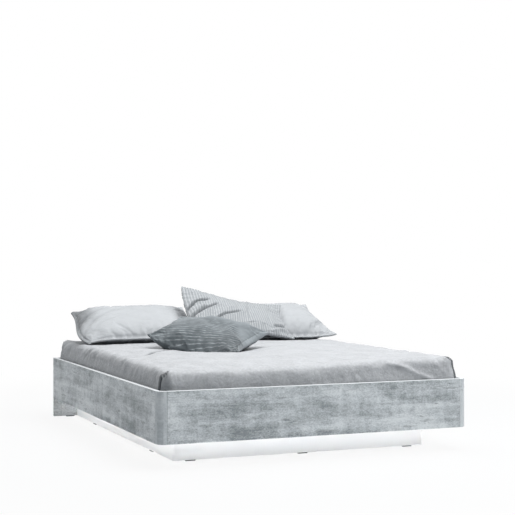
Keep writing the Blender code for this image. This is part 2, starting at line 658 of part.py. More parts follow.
def crown_rise(share):
    """How far the top rises above its edge on the ring at this share of the half size."""
    return MATTRESS_CROWN * (1 - share ** CROWN_POWER)


def bedding_rings(offset, hem_share, fold_scale):
    """Rings from the hem up the sides, over the rounded edge and in to the middle of the top."""
    half_x = MATTRESS_WIDTH / 2 + offset
    half_y = MATTRESS_LENGTH / 2 + offset
    top = MATTRESS_TOP_EDGE + offset
    edge = MATTRESS_EDGE_RADIUS
    rings = []
    for share in (hem_share, *SIDE_LEVEL_SHARES):
        z = MATTRESS_BOTTOM + (top - edge - MATTRESS_BOTTOM) * share
        bulge = SIDE_BULGE * math.sin(math.pi * share) - SIDE_LEAN * share * share
        fold = fold_scale * (FOLD_END_FADE + (1 - FOLD_END_FADE) * share)
        ring = bedding_ring(half_x + bulge, half_y + bulge, MATTRESS_CORNER_RADIUS, share, fold)
        rings.append([(point.x, point.y, z) for point in ring])
    for step in range(1, EDGE_STEPS + 1):
        angle = math.pi / 2 * step / EDGE_STEPS
        roll = 1 - math.cos(angle)
        inset = SIDE_LEAN + edge * roll
        radius = MATTRESS_CORNER_RADIUS + (TOP_CORNER_RADIUS - MATTRESS_CORNER_RADIUS) * roll
        z = top - edge + edge * math.sin(angle)
        fold = fold_scale * math.cos(angle)
        ring = bedding_ring(half_x - inset, half_y - inset, radius, 1.0, fold)
        rings.append([(point.x, point.y, z) for point in ring])
    last = rings[-1]
    for share in TOP_RING_SHARES:
        rings.append([(x * share, y * share, top + crown_rise(share)) for x, y, _ in last])
    return rings


def skin_rings(shape, rings, crown_z, outward=True):
    """Faces between neighbouring rings, closed by a fan at the middle of the top."""
    loops = [[shape.verts.new(point) for point in ring] for ring in rings]
    count = len(loops[0])
    for lower, upper in zip(loops, loops[1:]):
        for index in range(count):
            after = (index + 1) % count
            corners = [lower[index], lower[after], upper[after], upper[index]]
            shape.faces.new(corners if outward else corners[::-1])
    peak = shape.verts.new((0, 0, crown_z))
    for index in range(count):
        corners = [loops[-1][index], loops[-1][(index + 1) % count], peak]
        shape.faces.new(corners if outward else corners[::-1])
    return loops


def build_mattress(group):
    """A foam mattress with a crowned top and rounded upper edge."""
    shape = bmesh.new()
    rings = bedding_rings(0.0, 0.0, 0.0)
    loops = skin_rings(shape, rings, MATTRESS_TOP_EDGE + crown_rise(0.0))
    shape.faces.new(loops[0][::-1])
    mattress = add_piece("mattress", shape, "mattress_ticking", parent=group)
    smooth(mattress)


def build_sheet(group):
    """The sheet: a thin skin over the mattress with its corner pleats and main folds."""
    shape = bmesh.new()
    outer = skin_rings(shape, bedding_rings(SHEET_OUTSIDE, SHEET_HEM_SHARE, 1.0),
                       MATTRESS_TOP_EDGE + SHEET_OUTSIDE + crown_rise(0.0))
    inner = skin_rings(shape, bedding_rings(SHEET_CLEARANCE, SHEET_HEM_SHARE, 0.0),
                       MATTRESS_TOP_EDGE + SHEET_CLEARANCE + crown_rise(0.0), outward=False)
    count = len(outer[0])
    for index in range(count):
        after = (index + 1) % count
        shape.faces.new((inner[0][index], inner[0][after], outer[0][after], outer[0][index]))
    sheet = add_piece("sheet", shape, "satin_sheet", parent=group)
    smooth(sheet)


def bedding_height(x, y):
    """Height of the made bed's top at a place, taken level beyond its edges."""
    share = min(1.0, max(abs(x) / BEDDING_TOP_X, abs(y) / BEDDING_TOP_Y))
    return MATTRESS_TOP_EDGE + SHEET_OUTSIDE + crown_rise(share)


def pillow_columns(form, underside=None):
    """Pairs of lower and upper points over the pillow's outline, in its own frame.

    The form is width, depth, thickness, the share by which the sides are drawn in, the power that
    shapes the edge (the lower, the plumper), and how far the corners stand up.
    """
    width, depth, thickness, drawn_in, edge_power, corner_lift = form
    columns = []
    for row in range(PILLOW_ALONG + 1):
        v = -math.cos(math.pi * row / PILLOW_ALONG)
        v = (v + 2 * row / PILLOW_ALONG - 1) / 2
        line = []
        for step in range(PILLOW_ACROSS + 1):
            u = -math.cos(math.pi * step / PILLOW_ACROSS)
            u = (u + 2 * step / PILLOW_ACROSS - 1) / 2
            x = width / 2 * u * (1 - drawn_in * (1 - v * v))
            y = depth / 2 * v * (1 - drawn_in * (1 - u * u))
            swell_u = (1 - abs(u) ** PILLOW_PROFILE_POWER) ** edge_power
            swell_v = (1 - abs(v) ** PILLOW_PROFILE_POWER) ** edge_power
            half = PILLOW_SEAM / 2 + (thickness - PILLOW_SEAM) / 2 * swell_u * swell_v
            lift = corner_lift * u * u * v * v
            low = lift - half if underside is None else max(lift - half, -underside)
            line.append([Vector((x, y, low)), Vector((x, y, lift + half))])
        columns.append(line)
    return columns


def rest_on_bed(column, placed):
    """Lift a column of the pillow that would sink into the made bed."""
    low, high = (placed @ point for point in column)
    low.z = max(low.z, bedding_height(low.x, low.y) + PILLOW_SEAT)
    high.z = max(high.z, low.z + PILLOW_SEAM)
    to_local = placed.inverted()
    return [to_local @ low, to_local @ high]


def press_under(column, placed, cover):
    """Push a column down where it would reach through the underside of the pillow lying on it."""
    normal = cover.to_3x3() @ Vector((0, 0, 1))
    seat = cover @ Vector((0, 0, -RIBBED_UNDERSIDE))
    to_local = placed.inverted()
    points = []
    for point in column:
        world = placed @ point
        above = (world - seat).dot(normal) + GAP
        if above > 0:
            world -= normal * above
        points.append(to_local @ world)
    return points


def build_pillow(name, form, centre, turn, material, group, cover=None, underside=None):
    """A stuffed pillow with drawn-in sides, shaped by what it lies on and what lies on it."""
    placed = Matrix.Translation(centre) @ Euler(turn).to_matrix().to_4x4()
    columns = pillow_columns(form, underside=underside)
    for line in columns:
        for step, column in enumerate(line):
            if cover is not None:
                column = press_under(column, placed, cover)
            line[step] = rest_on_bed(column, placed)
    shape = bmesh.new()
    grid = [[[shape.verts.new(point) for point in column] for column in line] for line in columns]
    for row in range(PILLOW_ALONG):
        for step in range(PILLOW_ACROSS):
            cell = (grid[row][step], grid[row][step + 1], grid[row + 1][step + 1], grid[row + 1][step])
            shape.faces.new([column[1] for column in cell])
            shape.faces.new([column[0] for column in reversed(cell)])
    rim = [grid[0][step] for step in range(PILLOW_ACROSS)]
    rim += [grid[row][PILLOW_ACROSS] for row in range(PILLOW_ALONG)]
    rim += [grid[PILLOW_ALONG][step] for step in range(PILLOW_ACROSS, 0, -1)]
    rim += [grid[row][0] for row in range(PILLOW_ALONG, 0, -1)]
    for index, (low, high) in enumerate(rim):
        next_low, next_high = rim[(index + 1) % len(rim)]
        shape.faces.new((low, next_low, next_high, high))
    pillow = add_piece(name, shape, material, location=centre, rotation=turn, parent=group)
    smooth(pillow, angle=math.radians(60))
    return placed


def build_pillows(group):
    """Two plain sleeping pillows, a ribbed one lying on the right one and a striped one in front."""
    width = MATTRESS_WIDTH
    head = MATTRESS_LENGTH / 2
    ribbed_centre = (width * (0.5 - RIBBED_FROM_SIDE_SHARE), head - RIBBED_FROM_HEAD,
                     BEDDING_TOP + RIBBED_RISE)
    ribbed_form = (RIBBED_WIDTH, RIBBED_DEPTH, RIBBED_THICKNESS, RIBBED_DRAWN_IN_SHARE,
                   RIBBED_EDGE_POWER, RIBBED_CORNER_LIFT)
    ribbed = build_pillow("pillow_ribbed", ribbed_form, ribbed_centre, RIBBED_TURN, "ribbed_cotton", group,
                          underside=RIBBED_UNDERSIDE)
    sleeping_form = (SLEEPING_WIDTH, SLEEPING_DEPTH, SLEEPING_THICKNESS, SLEEPING_DRAWN_IN_SHARE,
                     SLEEPING_EDGE_POWER, SLEEPING_CORNER_LIFT)
    left_centre = (width * (LEFT_FROM_SIDE_SHARE - 0.5), head - LEFT_FROM_HEAD,
                   BEDDING_TOP + LEFT_RISE)
    right_centre = (width * (0.5 - RIGHT_FROM_SIDE_SHARE), head - RIGHT_FROM_HEAD,
                    BEDDING_TOP + RIGHT_RISE)
    for name, centre, turn in (("pillow_left", left_centre, LEFT_TURN),
                               ("pillow_right", right_centre, RIGHT_TURN)):
        build_pillow(name, sleeping_form, centre, turn, "plain_cotton", group, cover=ribbed)
    striped_form = (STRIPED_WIDTH, STRIPED_DEPTH, STRIPED_THICKNESS, STRIPED_DRAWN_IN_SHARE,
                    STRIPED_EDGE_POWER, STRIPED_CORNER_LIFT)
    striped_centre = (width * (STRIPED_FROM_SIDE_SHARE - 0.5), head - STRIPED_FROM_HEAD,
                      BEDDING_TOP + STRIPED_RISE)
    build_pillow("pillow_striped", striped_form, striped_centre, STRIPED_TURN, "striped_weave", group)


def build_bed():
    """The whole bed, one assembly after another."""
    clear_scene()
    frame_group = add_group("frame")
    base_group = add_group("base")
    bedding_group = add_group("bedding")
    build_frame(frame_group)
    build_head_angles(frame_group)
    build_lights(frame_group)
    build_plinth(base_group)
    build_glides(base_group)
    build_driver(base_group)
    build_slat_support(base_group)
    build_slats(base_group)
    build_mattress(bedding_group)
    build_sheet(bedding_group)
    build_pillows(bedding_group)


build_bed()
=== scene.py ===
"""Dressed scene of a low double bed with lights under its floating frame.

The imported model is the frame. Hard pieces keep their CAD mesh and get a real finish, the bedding is
modelled here, and small fixings and stitches are grown with Geometry Nodes. Lengths are in metres,
and scales of noise are features per metre.
"""

from __future__ import annotations

import logging
import math
from dataclasses import dataclass, field, replace
from enum import Enum
from typing import Any, Sequence

import bpy
import numpy as np
from mathutils import Euler, Matrix, Vector, noise
from mathutils.bvhtree import BVHTree


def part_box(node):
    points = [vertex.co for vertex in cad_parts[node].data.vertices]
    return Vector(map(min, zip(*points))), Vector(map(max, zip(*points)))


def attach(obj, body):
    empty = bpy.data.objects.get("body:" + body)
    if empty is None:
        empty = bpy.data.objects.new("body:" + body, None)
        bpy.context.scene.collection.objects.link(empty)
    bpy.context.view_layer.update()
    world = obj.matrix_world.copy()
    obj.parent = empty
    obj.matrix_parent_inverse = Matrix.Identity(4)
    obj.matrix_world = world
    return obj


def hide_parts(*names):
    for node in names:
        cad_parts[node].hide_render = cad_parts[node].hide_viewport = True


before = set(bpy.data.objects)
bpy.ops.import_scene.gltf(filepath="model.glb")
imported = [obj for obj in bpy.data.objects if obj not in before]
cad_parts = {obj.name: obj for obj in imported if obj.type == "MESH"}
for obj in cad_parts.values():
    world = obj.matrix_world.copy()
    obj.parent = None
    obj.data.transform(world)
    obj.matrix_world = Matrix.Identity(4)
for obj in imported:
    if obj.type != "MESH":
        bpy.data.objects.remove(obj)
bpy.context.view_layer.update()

Thing = bpy.types.Object
Tree = bpy.types.NodeTree
Node = bpy.types.Node
Socket = bpy.types.NodeSocket

Vector3 = tuple[float, float, float]
Place = tuple[Vector3, Vector3]

LOG = logging.getLogger("bed")
MM = 0.001
# Node kinds that come up often.
MATH, RANGE, MIX = "ShaderNodeMath", "ShaderNodeMapRange", "ShaderNodeMix"
NOISE, WAVE, BUMP = "ShaderNodeTexNoise", "ShaderNodeTexWave", "ShaderNodeBump"
COORDS, SPLIT, JOIN = "ShaderNodeTexCoord", "ShaderNodeSeparateXYZ", "ShaderNodeCombineXYZ"
# Inputs of a Mix node that mixes two colours.
MIX_FACTOR, MIX_A, MIX_B = 0, 6, 7
# A wave texture has one band for each pi / 10 of its scaled coordinate.
WAVE_BAND = math.pi / 10
# How far off the mattress the sheet's outer face lies, a pillow off the sheet's form, a pressed
# pillow off the one above it, and stitches off their cloth.
SHEET_OUTSIDE = 2.5 * MM
PILLOW_REST = 2.4 * MM
PILLOW_GAP = 0.6 * MM
THREAD_RISE = 0.5 * MM
# Frames of cloth simulation, after which the wrinkles stand.
SIM_FRAMES = 20


def linear(code: str) -> tuple[float, float, float, float]:
    """Turn an sRGB hex colour into a linear RGBA colour.

    Args:
        code: six hex digits.

    Returns:
        The linear colour with full alpha.
    """
    parts = [int(code[index:index + 2], 16) / 255 for index in (0, 2, 4)]
    red, green, blue = (part / 12.92 if part <= 0.04045 else ((part + 0.055) / 1.055) ** 2.4
                        for part in parts)
    return red, green, blue, 1.0


def feed(tree: Tree, node: Node, inputs: dict[Any, Any]) -> None:
    """Give a node its inputs.

    Args:
        tree: the node's tree.
        node: the node.
        inputs: what each input gets, by its name or number: a value, a socket that is linked, or
            a node that is linked from its first output in use.
    """
    for key, value in inputs.items():
        if isinstance(value, Node):
            value = next(socket for socket in value.outputs if socket.enabled)
        if isinstance(value, Socket):
            tree.links.new(value, node.inputs[key])
        else:
            node.inputs[key].default_value = value


def add_node(tree: Tree, kind: str, inputs: dict[Any, Any] | None = None,
             stops: Sequence[tuple[float, Any]] = (), **settings: Any) -> Node:
    """Add a node with its settings and links.

    Args:
        tree: the node tree that gets the node.
        kind: the node's type name.
        inputs: what each input gets, as for feed.
        stops: positions and colours of a colour ramp.
        settings: the node's own properties.

    Returns:
        The new node.
    """
    node = tree.nodes.new(kind)
    for name, value in settings.items():
        setattr(node, name, value)
    if stops:
        elements = node.color_ramp.elements
        while len(elements) < len(stops):
            elements.new(0.5)
        for element, (position, colour) in zip(elements, stops):
            element.position = position
            element.color = colour
    feed(tree, node, inputs or {})
    return node


def in_scene(name: str, data: bpy.types.ID) -> Thing:
    """A new object at the origin that shows a mesh, a lamp or a camera.

    Args:
        name: the object's name.
        data: what it shows.

    Returns:
        The object, linked to the scene.
    """
    thing = bpy.data.objects.new(name, data)
    bpy.context.scene.collection.objects.link(thing)
    return thing


def mesh_object(name: str, points: np.ndarray, faces: list[Sequence[int]],
                smooth: bool = True) -> Thing:
    """Make a mesh object at the origin.

    Args:
        name: the piece's name.
        points: one row for each point.
        faces: point numbers of each face, anticlockwise seen from outside.
        smooth: whether the faces are shaded smooth.

    Returns:
        The object.
    """
    mesh = bpy.data.meshes.new(name)
    mesh.from_pydata([tuple(map(float, point)) for point in points], [], faces)
    mesh.update()
    if smooth:
        mesh.shade_smooth()
    return in_scene(name, mesh)


def ring_faces(first: int, rings: int, count: int, inward: bool = False) -> list[tuple[int, ...]]:
    """Faces between closed rings of points that follow each other.

    Args:
        first: number of the first ring's first point.
        rings: how many rings there are.
        count: how many points a ring has.
        inward: whether the faces look inwards.

    Returns:
        The point numbers of each face.
    """
    faces = []
    for low in range(first, first + (rings - 1) * count, count):
        for index in range(count):
            after = (index + 1) % count
            start, end = (after, index) if inward else (index, after)
            faces.append((low + start, low + end, low + count + end, low + count + start))
    return faces


def grid_faces(index: np.ndarray) -> list[tuple[int, ...]]:
    """Faces between the points of a grid.

    Args:
        index: point numbers over rows and columns.

    Returns:
        The point numbers of each face, row after row.
    """
    cells = np.stack([index[:-1, :-1], index[:-1, 1:], index[1:, 1:], index[1:, :-1]], axis=2)
    return [tuple(map(int, cell)) for cell in cells.reshape(-1, 4)]


def noise_at(points: np.ndarray, scale: Sequence[float], seed: float = 0.0) -> np.ndarray:
    """Smooth noise from -1 to 1 at each point.

    Args:
        points: an array of points, one row each.
        scale: features per metre along each axis.
        seed: shifts the pattern.

    Returns:
        One value for each point.
    """
    scaled = points * np.asarray(scale) + seed
    return np.array([noise.noise(Vector(row)) for row in scaled])


def smoothstep(low: float, high: float, value: np.ndarray) -> np.ndarray:
    """A soft step of the values, from 0 at low to 1 at high."""
    share = np.clip((value - low) / (high - low), 0.0, 1.0)
    return share * share * (3 - 2 * share)


def softened(grid: np.ndarray, reach: int) -> np.ndarray:
    """A grid of vectors blurred over its rows and columns.

    Args:
        grid: rows, columns and vectors.
        reach: blur radius in cells.

    Returns:
        The blurred grid.
    """
    span = np.arange(-3 * reach, 3 * reach + 1)
    weights = np.exp(-0.5 * (span / reach) ** 2)
    weights /= weights.sum()
    for axis in (0, 1):
        margin = [(0, 0)] * 3
        margin[axis] = (3 * reach, 3 * reach)
        wide = np.pad(grid, margin, mode="edge")
        size = grid.shape[axis]
        grid = sum(weight * np.take(wide, range(step, step + size), axis=axis)
                   for step, weight in enumerate(weights))
    return grid


@dataclass(frozen=True)
class Crease:
    """A ridge or valley of the cloth along a path on its surface."""

    path: tuple[tuple[float, float], ...]
    width: float
    height: float
    fade: float = 0.25

    def rise(self, across: np.ndarray, along: np.ndarray) -> np.ndarray:
        """How far the crease lifts the cloth at each point of the surface.

        Args:
            across: first surface coordinate of each point.
            along: second surface coordinate of each point.

        Returns:
            The lift in metres.
        """
        points = np.array(self.path)
        spans = np.linalg.norm(np.diff(points, axis=0), axis=1)
        total = spans.sum()
        best = np.full(across.shape, 1e9)
        place = np.zeros(across.shape)
        done = 0.0
        for start, end, span in zip(points[:-1], points[1:], spans):
            step = (end - start) / span
            reach = np.clip((across - start[0]) * step[0] + (along - start[1]) * step[1], 0, span)
            gap = np.hypot(across - start[0] - reach * step[0], along - start[1] - reach * step[1])
            nearer = gap < best
            best = np.where(nearer, gap, best)
            place = np.where(nearer, (done + reach) / total, place)
            done += span
        taper = smoothstep(0.0, self.fade, place) * smoothstep(0.0, self.fade, 1 - place)
        return self.height * taper * np.exp(-((best / self.width) ** 2))


def store_painted_shade(piece: Thing, depth: np.ndarray) -> None:
    """Store on a cloth's points how much painted shade each gets, from 0 to 1, for its material."""
    layer = piece.data.attributes.new("fold", "FLOAT", "POINT")
    layer.data.foreach_set("value", np.clip(depth, 0, 1).astype(np.float32).ravel())


def wear(piece: Thing, finish: "Finish", body: str) -> None:
    """Give a finished piece its material and body.

    Args:
        piece: the piece.
        finish: its finish.
        body: the body that carries it.
    """
    piece.data.materials.clear()
    piece.data.materials.append(finish.material())
    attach(piece, body)


def dress(finish: "Finish", nodes: Sequence[str]) -> None:
    """Give CAD nodes that are kept as they are a procedural material.

    Args:
        finish: the finish.
        nodes: the nodes' names.
    """
    for name in nodes:
        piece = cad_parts[name]
        piece.data.materials.clear()
        piece.data.materials.append(finish.material())


@dataclass(frozen=True)
class Finish:
    """A real material, and the record's slot that it belongs to."""

    name: str
    slot: str
    tint: str
    roughness: float = 0.5
    metallic: float = 0.0

    def material(self) -> bpy.types.Material:
        """The material, made on first use.

        Returns:
            The material with its pattern.
        """
        made = bpy.data.materials.get(self.name)
        if made is None:
            made = bpy.data.materials.new(self.name)
            made.use_nodes = True
            shader = made.node_tree.nodes["Principled BSDF"]
            feed(made.node_tree, shader, {
                "Base Color": linear(self.tint), "Roughness": self.roughness,
                "Metallic": self.metallic})
            self.pattern(made.node_tree, shader)
        return made

    def pattern(self, tree: Tree, shader: Node) -> None:
        """Moulded or rolled surface: a fine uneven grain of about 2 mm.

        Args:
            tree: the material's tree.
            shader: its shader, which the pattern's nodes feed.
        """
        place = add_node(tree, COORDS).outputs["Object"]
        grain = add_node(tree, NOISE, {
            "Vector": place, "Scale": 500.0, "Detail": 3.0})
        rough = add_node(tree, RANGE, {
            "Value": grain, "To Min": self.roughness - 0.06, "To Max": self.roughness + 0.06})
        bump = add_node(tree, BUMP, {
            "Height": grain, "Distance": 0.05 * MM, "Strength": 0.6})
        feed(tree, shader, {"Roughness": rough, "Normal": bump})


class Grain(Enum):
    """Which way a board's decor runs."""

    LENGTHWISE = "lengthwise"
    UPRIGHT = "upright"


# Layers of the decor: features per metre along and up, shift, octaves, their strength, share.
DECOR = {
    Grain.LENGTHWISE: (((2.3, 8.5), 1.3, 9.0, 0.66, 0.92), ((1.8, 34.0), 5.1, 7.0, 0.66, 0.42),
                       ((13.0, 4.0), 9.4, 4.0, 0.55, 0.30), ((30.0, 38.0), 6.6, 4.0, 0.65, 0.34),
                       ((110.0, 170.0), 2.2, 3.0, 0.7, 0.60)),
    Grain.UPRIGHT: (((5.0, 3.0), 1.3, 6.0, 0.55, 0.55), ((48.0, 1.6), 5.1, 5.0, 0.6, 0.75),
                    ((130.0, 6.0), 9.4, 3.0, 0.6, 0.25), ((190.0, 95.0), 2.2, 3.0, 0.7, 0.35)),
}


@dataclass(frozen=True)
class ConcreteLaminate(Finish):
    """Melamine board printed with cast concrete: cloudy grey, trowel bands and small dark flaws."""

    light: str = "E3E7E9"
    middle: str = "C5CACD"
    dark: str = "8E9497"
    # Edging colour: real edge band, painted paler as a highlight where the board's top catches the
    # light.
    edge: str = "CDD1D3"
    flaw: str = "6E7579"
    # Joint colour: painted shadow in the gap between board and post.
    joint_shadow: str = "4A5053"
    edge_level: float = 10.0
    grain: Grain = Grain.LENGTHWISE
    seam_x: float = 0.7798

    def layer(self, tree: Tree, flat: Node, stretch: tuple[float, float], shift: float,
              detail: float, rough: float) -> Node:
        """Noise on the board's own length and height.

        Args:
            tree: the material's tree.
            flat: length and height along the board.
            stretch: features per metre along the board and up it.
            shift: moves the pattern, so that layers differ.
            detail: how many finer octaves there are.
            rough: strength of the finer octaves.

        Returns:
            The noise, around 0.5.
        """
        place = add_node(tree, "ShaderNodeMapping", {
            "Vector": flat, "Scale": (*stretch, 1.0), "Location": (shift, shift * 1.7, shift)})
        return add_node(tree, NOISE, {
            "Vector": place, "Scale": 1.0, "Detail": detail, "Roughness": rough,
            "Distortion": 0.35})

    def flawed(self, tree: Tree, flat: Node, colour: Node) -> Node:
        """Short dark flaws of 90 x 13 mm, in groups 200 mm apart.

        Args:
            tree: the material's tree.
            flat: length and height along the board.
            colour: the decor's colour.

        Returns:
            The colour with the flaws.
        """
        crack = self.layer(tree, flat, (11.0, 75.0), 3.7, 5.0, 0.72)
        where = self.layer(tree, flat, (5.0, 8.0), 7.7, 2.0, 0.5)
        both = add_node(tree, MATH, {0: where, 1: 0.45, 2: crack},
                        operation="MULTIPLY_ADD")
        cracks = add_node(tree, RANGE, {
            "Value": both, "From Min": 0.84, "From Max": 0.94, "To Max": 0.65})
        return add_node(tree, MIX, {
            MIX_FACTOR: cracks, MIX_A: colour, MIX_B: linear(self.flaw)}, data_type="RGBA")

    def edged(self, tree: Tree, parts: Node, colour: Node) -> Node:
        """The pale edging on the board's top edge, partly a painted highlight, and the painted shadow
        in its joints with the posts.

        Args:
            tree: the material's tree.
            parts: the place's three parts.
            colour: the decor's colour.

        Returns:
            The colour with edging and joints.
        """
        # Faces that look up take the edging's colour: the real band, painted paler as the light from
        # above.
        facing = add_node(tree, "ShaderNodeNewGeometry").outputs["Normal"]
        upward = add_node(tree, SPLIT, {"Vector": facing})
        on_edge = add_node(tree, RANGE, {
            "Value": upward.outputs["Z"], "From Min": 0.35, "From Max": 0.6})
        # The edging's own 1 mm rim is drawn 3 mm deep on the face so that it shows, paler as a
        # painted highlight of the lit top edge.
        on_rim = add_node(tree, RANGE, {
            "Value": parts.outputs["Z"], "From Min": self.edge_level - 3.5 * MM,
            "From Max": self.edge_level - 2.0 * MM, "To Max": 0.6})
        rim = add_node(tree, MATH, {0: on_edge, 1: on_rim}, operation="MAXIMUM")
        edged = add_node(tree, MIX, {
            MIX_FACTOR: rim, MIX_A: colour, MIX_B: linear(self.edge)}, data_type="RGBA")
        side = add_node(tree, MATH, {0: parts.outputs["X"]}, operation="ABSOLUTE")
        offset = add_node(tree, MATH, {0: side, 1: self.seam_x}, operation="SUBTRACT")
        near = add_node(tree, MATH, {0: offset}, operation="ABSOLUTE")
        # The real joint is 0.3 mm wide: its painted shadow is drawn 3 mm wide so that it shows.
        joint_shadow = add_node(tree, RANGE, {
            "Value": near, "From Min": 0.6 * MM, "From Max": 2.2 * MM, "To Min": 0.3,
            "To Max": 0.0})
        return add_node(tree, MIX, {
            MIX_FACTOR: joint_shadow, MIX_A: edged, MIX_B: linear(self.joint_shadow)}, data_type="RGBA")

    def pattern(self, tree: Tree, shader: Node) -> None:
        """Clouds up to 400 mm long, bands of 30 mm, stains, 3 mm grit, flaws, edging with a painted
        highlight, and painted joint shadows.

        Args:
            tree: the material's tree.
            shader: its shader.
        """
        place = add_node(tree, COORDS).outputs["Object"]
        parts = add_node(tree, SPLIT, {"Vector": place})
        run = add_node(tree, MATH, {0: parts.outputs["X"], 1: parts.outputs["Y"]},
                       operation="ADD")
        flat = add_node(tree, JOIN, {"X": run, "Y": parts.outputs["Z"]})
        tone: Any = 0.5
        for stretch, shift, detail, rough, share in DECOR[self.grain]:
            layer = self.layer(tree, flat, stretch, shift, detail, rough)
            centred = add_node(tree, MATH, {0: layer, 1: 0.5}, operation="SUBTRACT")
            tone = add_node(tree, MATH, {0: centred, 1: share, 2: tone},
                            operation="MULTIPLY_ADD")
        decor = add_node(tree, "ShaderNodeValToRGB", {"Fac": tone}, stops=(
            (0.30, linear(self.dark)), (0.5, linear(self.middle)), (0.66, linear(self.light))))
        colour = self.edged(tree, parts, self.flawed(tree, flat, decor))
        grit = add_node(tree, NOISE, {
            "Vector": place, "Scale": 320.0, "Detail": 4.0})
        shine = add_node(tree, RANGE, {
            "Value": tone, "From Min": 0.3, "From Max": 0.7, "To Min": self.roughness + 0.1,
            "To Max": self.roughness - 0.1})
        bump = add_node(tree, BUMP, {
            "Height": grit, "Distance": 0.08 * MM, "Strength": 0.5})
        feed(tree, shader, {"Base Color": colour, "Roughness": shine, "Normal": bump})


@dataclass(frozen=True)
class Timber(Finish):
    """Planed pine: yellowish early wood and darker late rings."""

    late: str = "B98A55"
    along_x: bool = True

    def pattern(self, tree: Tree, shader: Node) -> None:
        """Rings 4 to 9 mm apart that run along the piece, drawn out by noise, with fine pores.

        Args:
            tree: the material's tree.
            shader: its shader.
        """
        place = add_node(tree, COORDS).outputs["Object"]
        stretch = (0.05, 1.0, 1.0) if self.along_x else (1.0, 0.05, 1.0)
        drawn = add_node(tree, "ShaderNodeMapping", {"Vector": place, "Scale": stretch})
        rings = add_node(tree, NOISE, {
            "Vector": drawn, "Scale": 38.0, "Detail": 3.0, "Distortion": 1.4})
        lines = add_node(tree, MATH, {0: rings, 1: 34.0}, operation="MULTIPLY")
        wave = add_node(tree, MATH, {0: lines}, operation="SINE")
        share = add_node(tree, RANGE, {"Value": wave, "From Min": -1.0})
        pores = add_node(tree, NOISE, {
            "Vector": drawn, "Scale": 900.0, "Detail": 2.0})
        wood = add_node(tree, MIX, {
            MIX_FACTOR: share, MIX_A: linear(self.tint), MIX_B: linear(self.late)},
            data_type="RGBA")
        bump = add_node(tree, BUMP, {
            "Height": pores, "Distance": 0.12 * MM, "Strength": 0.6})
        rough = add_node(tree, RANGE, {
            "Value": share, "To Min": self.roughness, "To Max": self.roughness - 0.12})
        feed(tree, shader, {"Base Color": wood, "Roughness": rough, "Normal": bump})


COOL_WHITE = linear("F7FBFF")
CHIP_PITCH = 16.7 * MM


@dataclass(frozen=True)
class LightStrip(Finish):
    """White flexible circuit board with a light chip every 16.7 mm."""

    copper: str = "C08A4A"
    glow: float = 6.0
    along_x: bool = False

    def pattern(self, tree: Tree, shader: Node) -> None:
        """Glowing squares of 5 mm in step with the chips, copper pads between them.

        Args:
            tree: the material's tree.
            shader: its shader.
        """
        place = add_node(tree, COORDS).outputs["Object"]
        parts = add_node(tree, SPLIT, {"Vector": place})
        run = parts.outputs["X" if self.along_x else "Y"]
        share = add_node(tree, MATH, {0: run, 1: 1 / CHIP_PITCH}, operation="MULTIPLY")
        within = add_node(tree, MATH, {0: share, 1: 0.5}, operation="PINGPONG")
        chip = add_node(tree, RANGE, {
            "Value": within, "From Min": 0.14, "From Max": 0.16, "To Min": 1.0, "To Max": 0.0})
        pad = add_node(tree, RANGE, {
            "Value": within, "From Min": 0.40, "From Max": 0.42})
        colour = add_node(tree, MIX, {
            MIX_FACTOR: pad, MIX_A: linear(self.tint), MIX_B: linear(self.copper)},
            data_type="RGBA")
        glow = add_node(tree, MATH, {0: chip, 1: self.glow}, operation="MULTIPLY")
        feed(tree, shader, {
            "Base Color": colour, "Emission Color": COOL_WHITE, "Emission Strength": glow})


@dataclass(frozen=True)
class OpalDiffuser(Finish):
    """Milky polycarbonate cover that glows evenly."""

    glow: float = 18.0

    def pattern(self, tree: Tree, shader: Node) -> None:
        """An even cool-white glow over a moulded surface.

        Args:
            tree: the material's tree.
            shader: its shader.
        """
        super().pattern(tree, shader)
        feed(tree, shader, {"Emission Color": COOL_WHITE, "Emission Strength": self.glow})


def with_painted_shade(tree: Tree, colour: Node) -> Node:
    """A cloth's colour with painted shade, darker where little light reaches: folds, slits, hidden
    cloth.

    Args:
        tree: the material's tree.
        colour: the cloth's colour.

    Returns:
        The colour with the painted shade.
    """
    depth = add_node(tree, "ShaderNodeAttribute", attribute_name="fold")
    # Painted shade: the stored amount mixes the colour towards dark grey.
    return add_node(tree, MIX, {
        MIX_FACTOR: depth.outputs["Fac"], MIX_A: colour, MIX_B: linear("30363A")},
        data_type="RGBA")


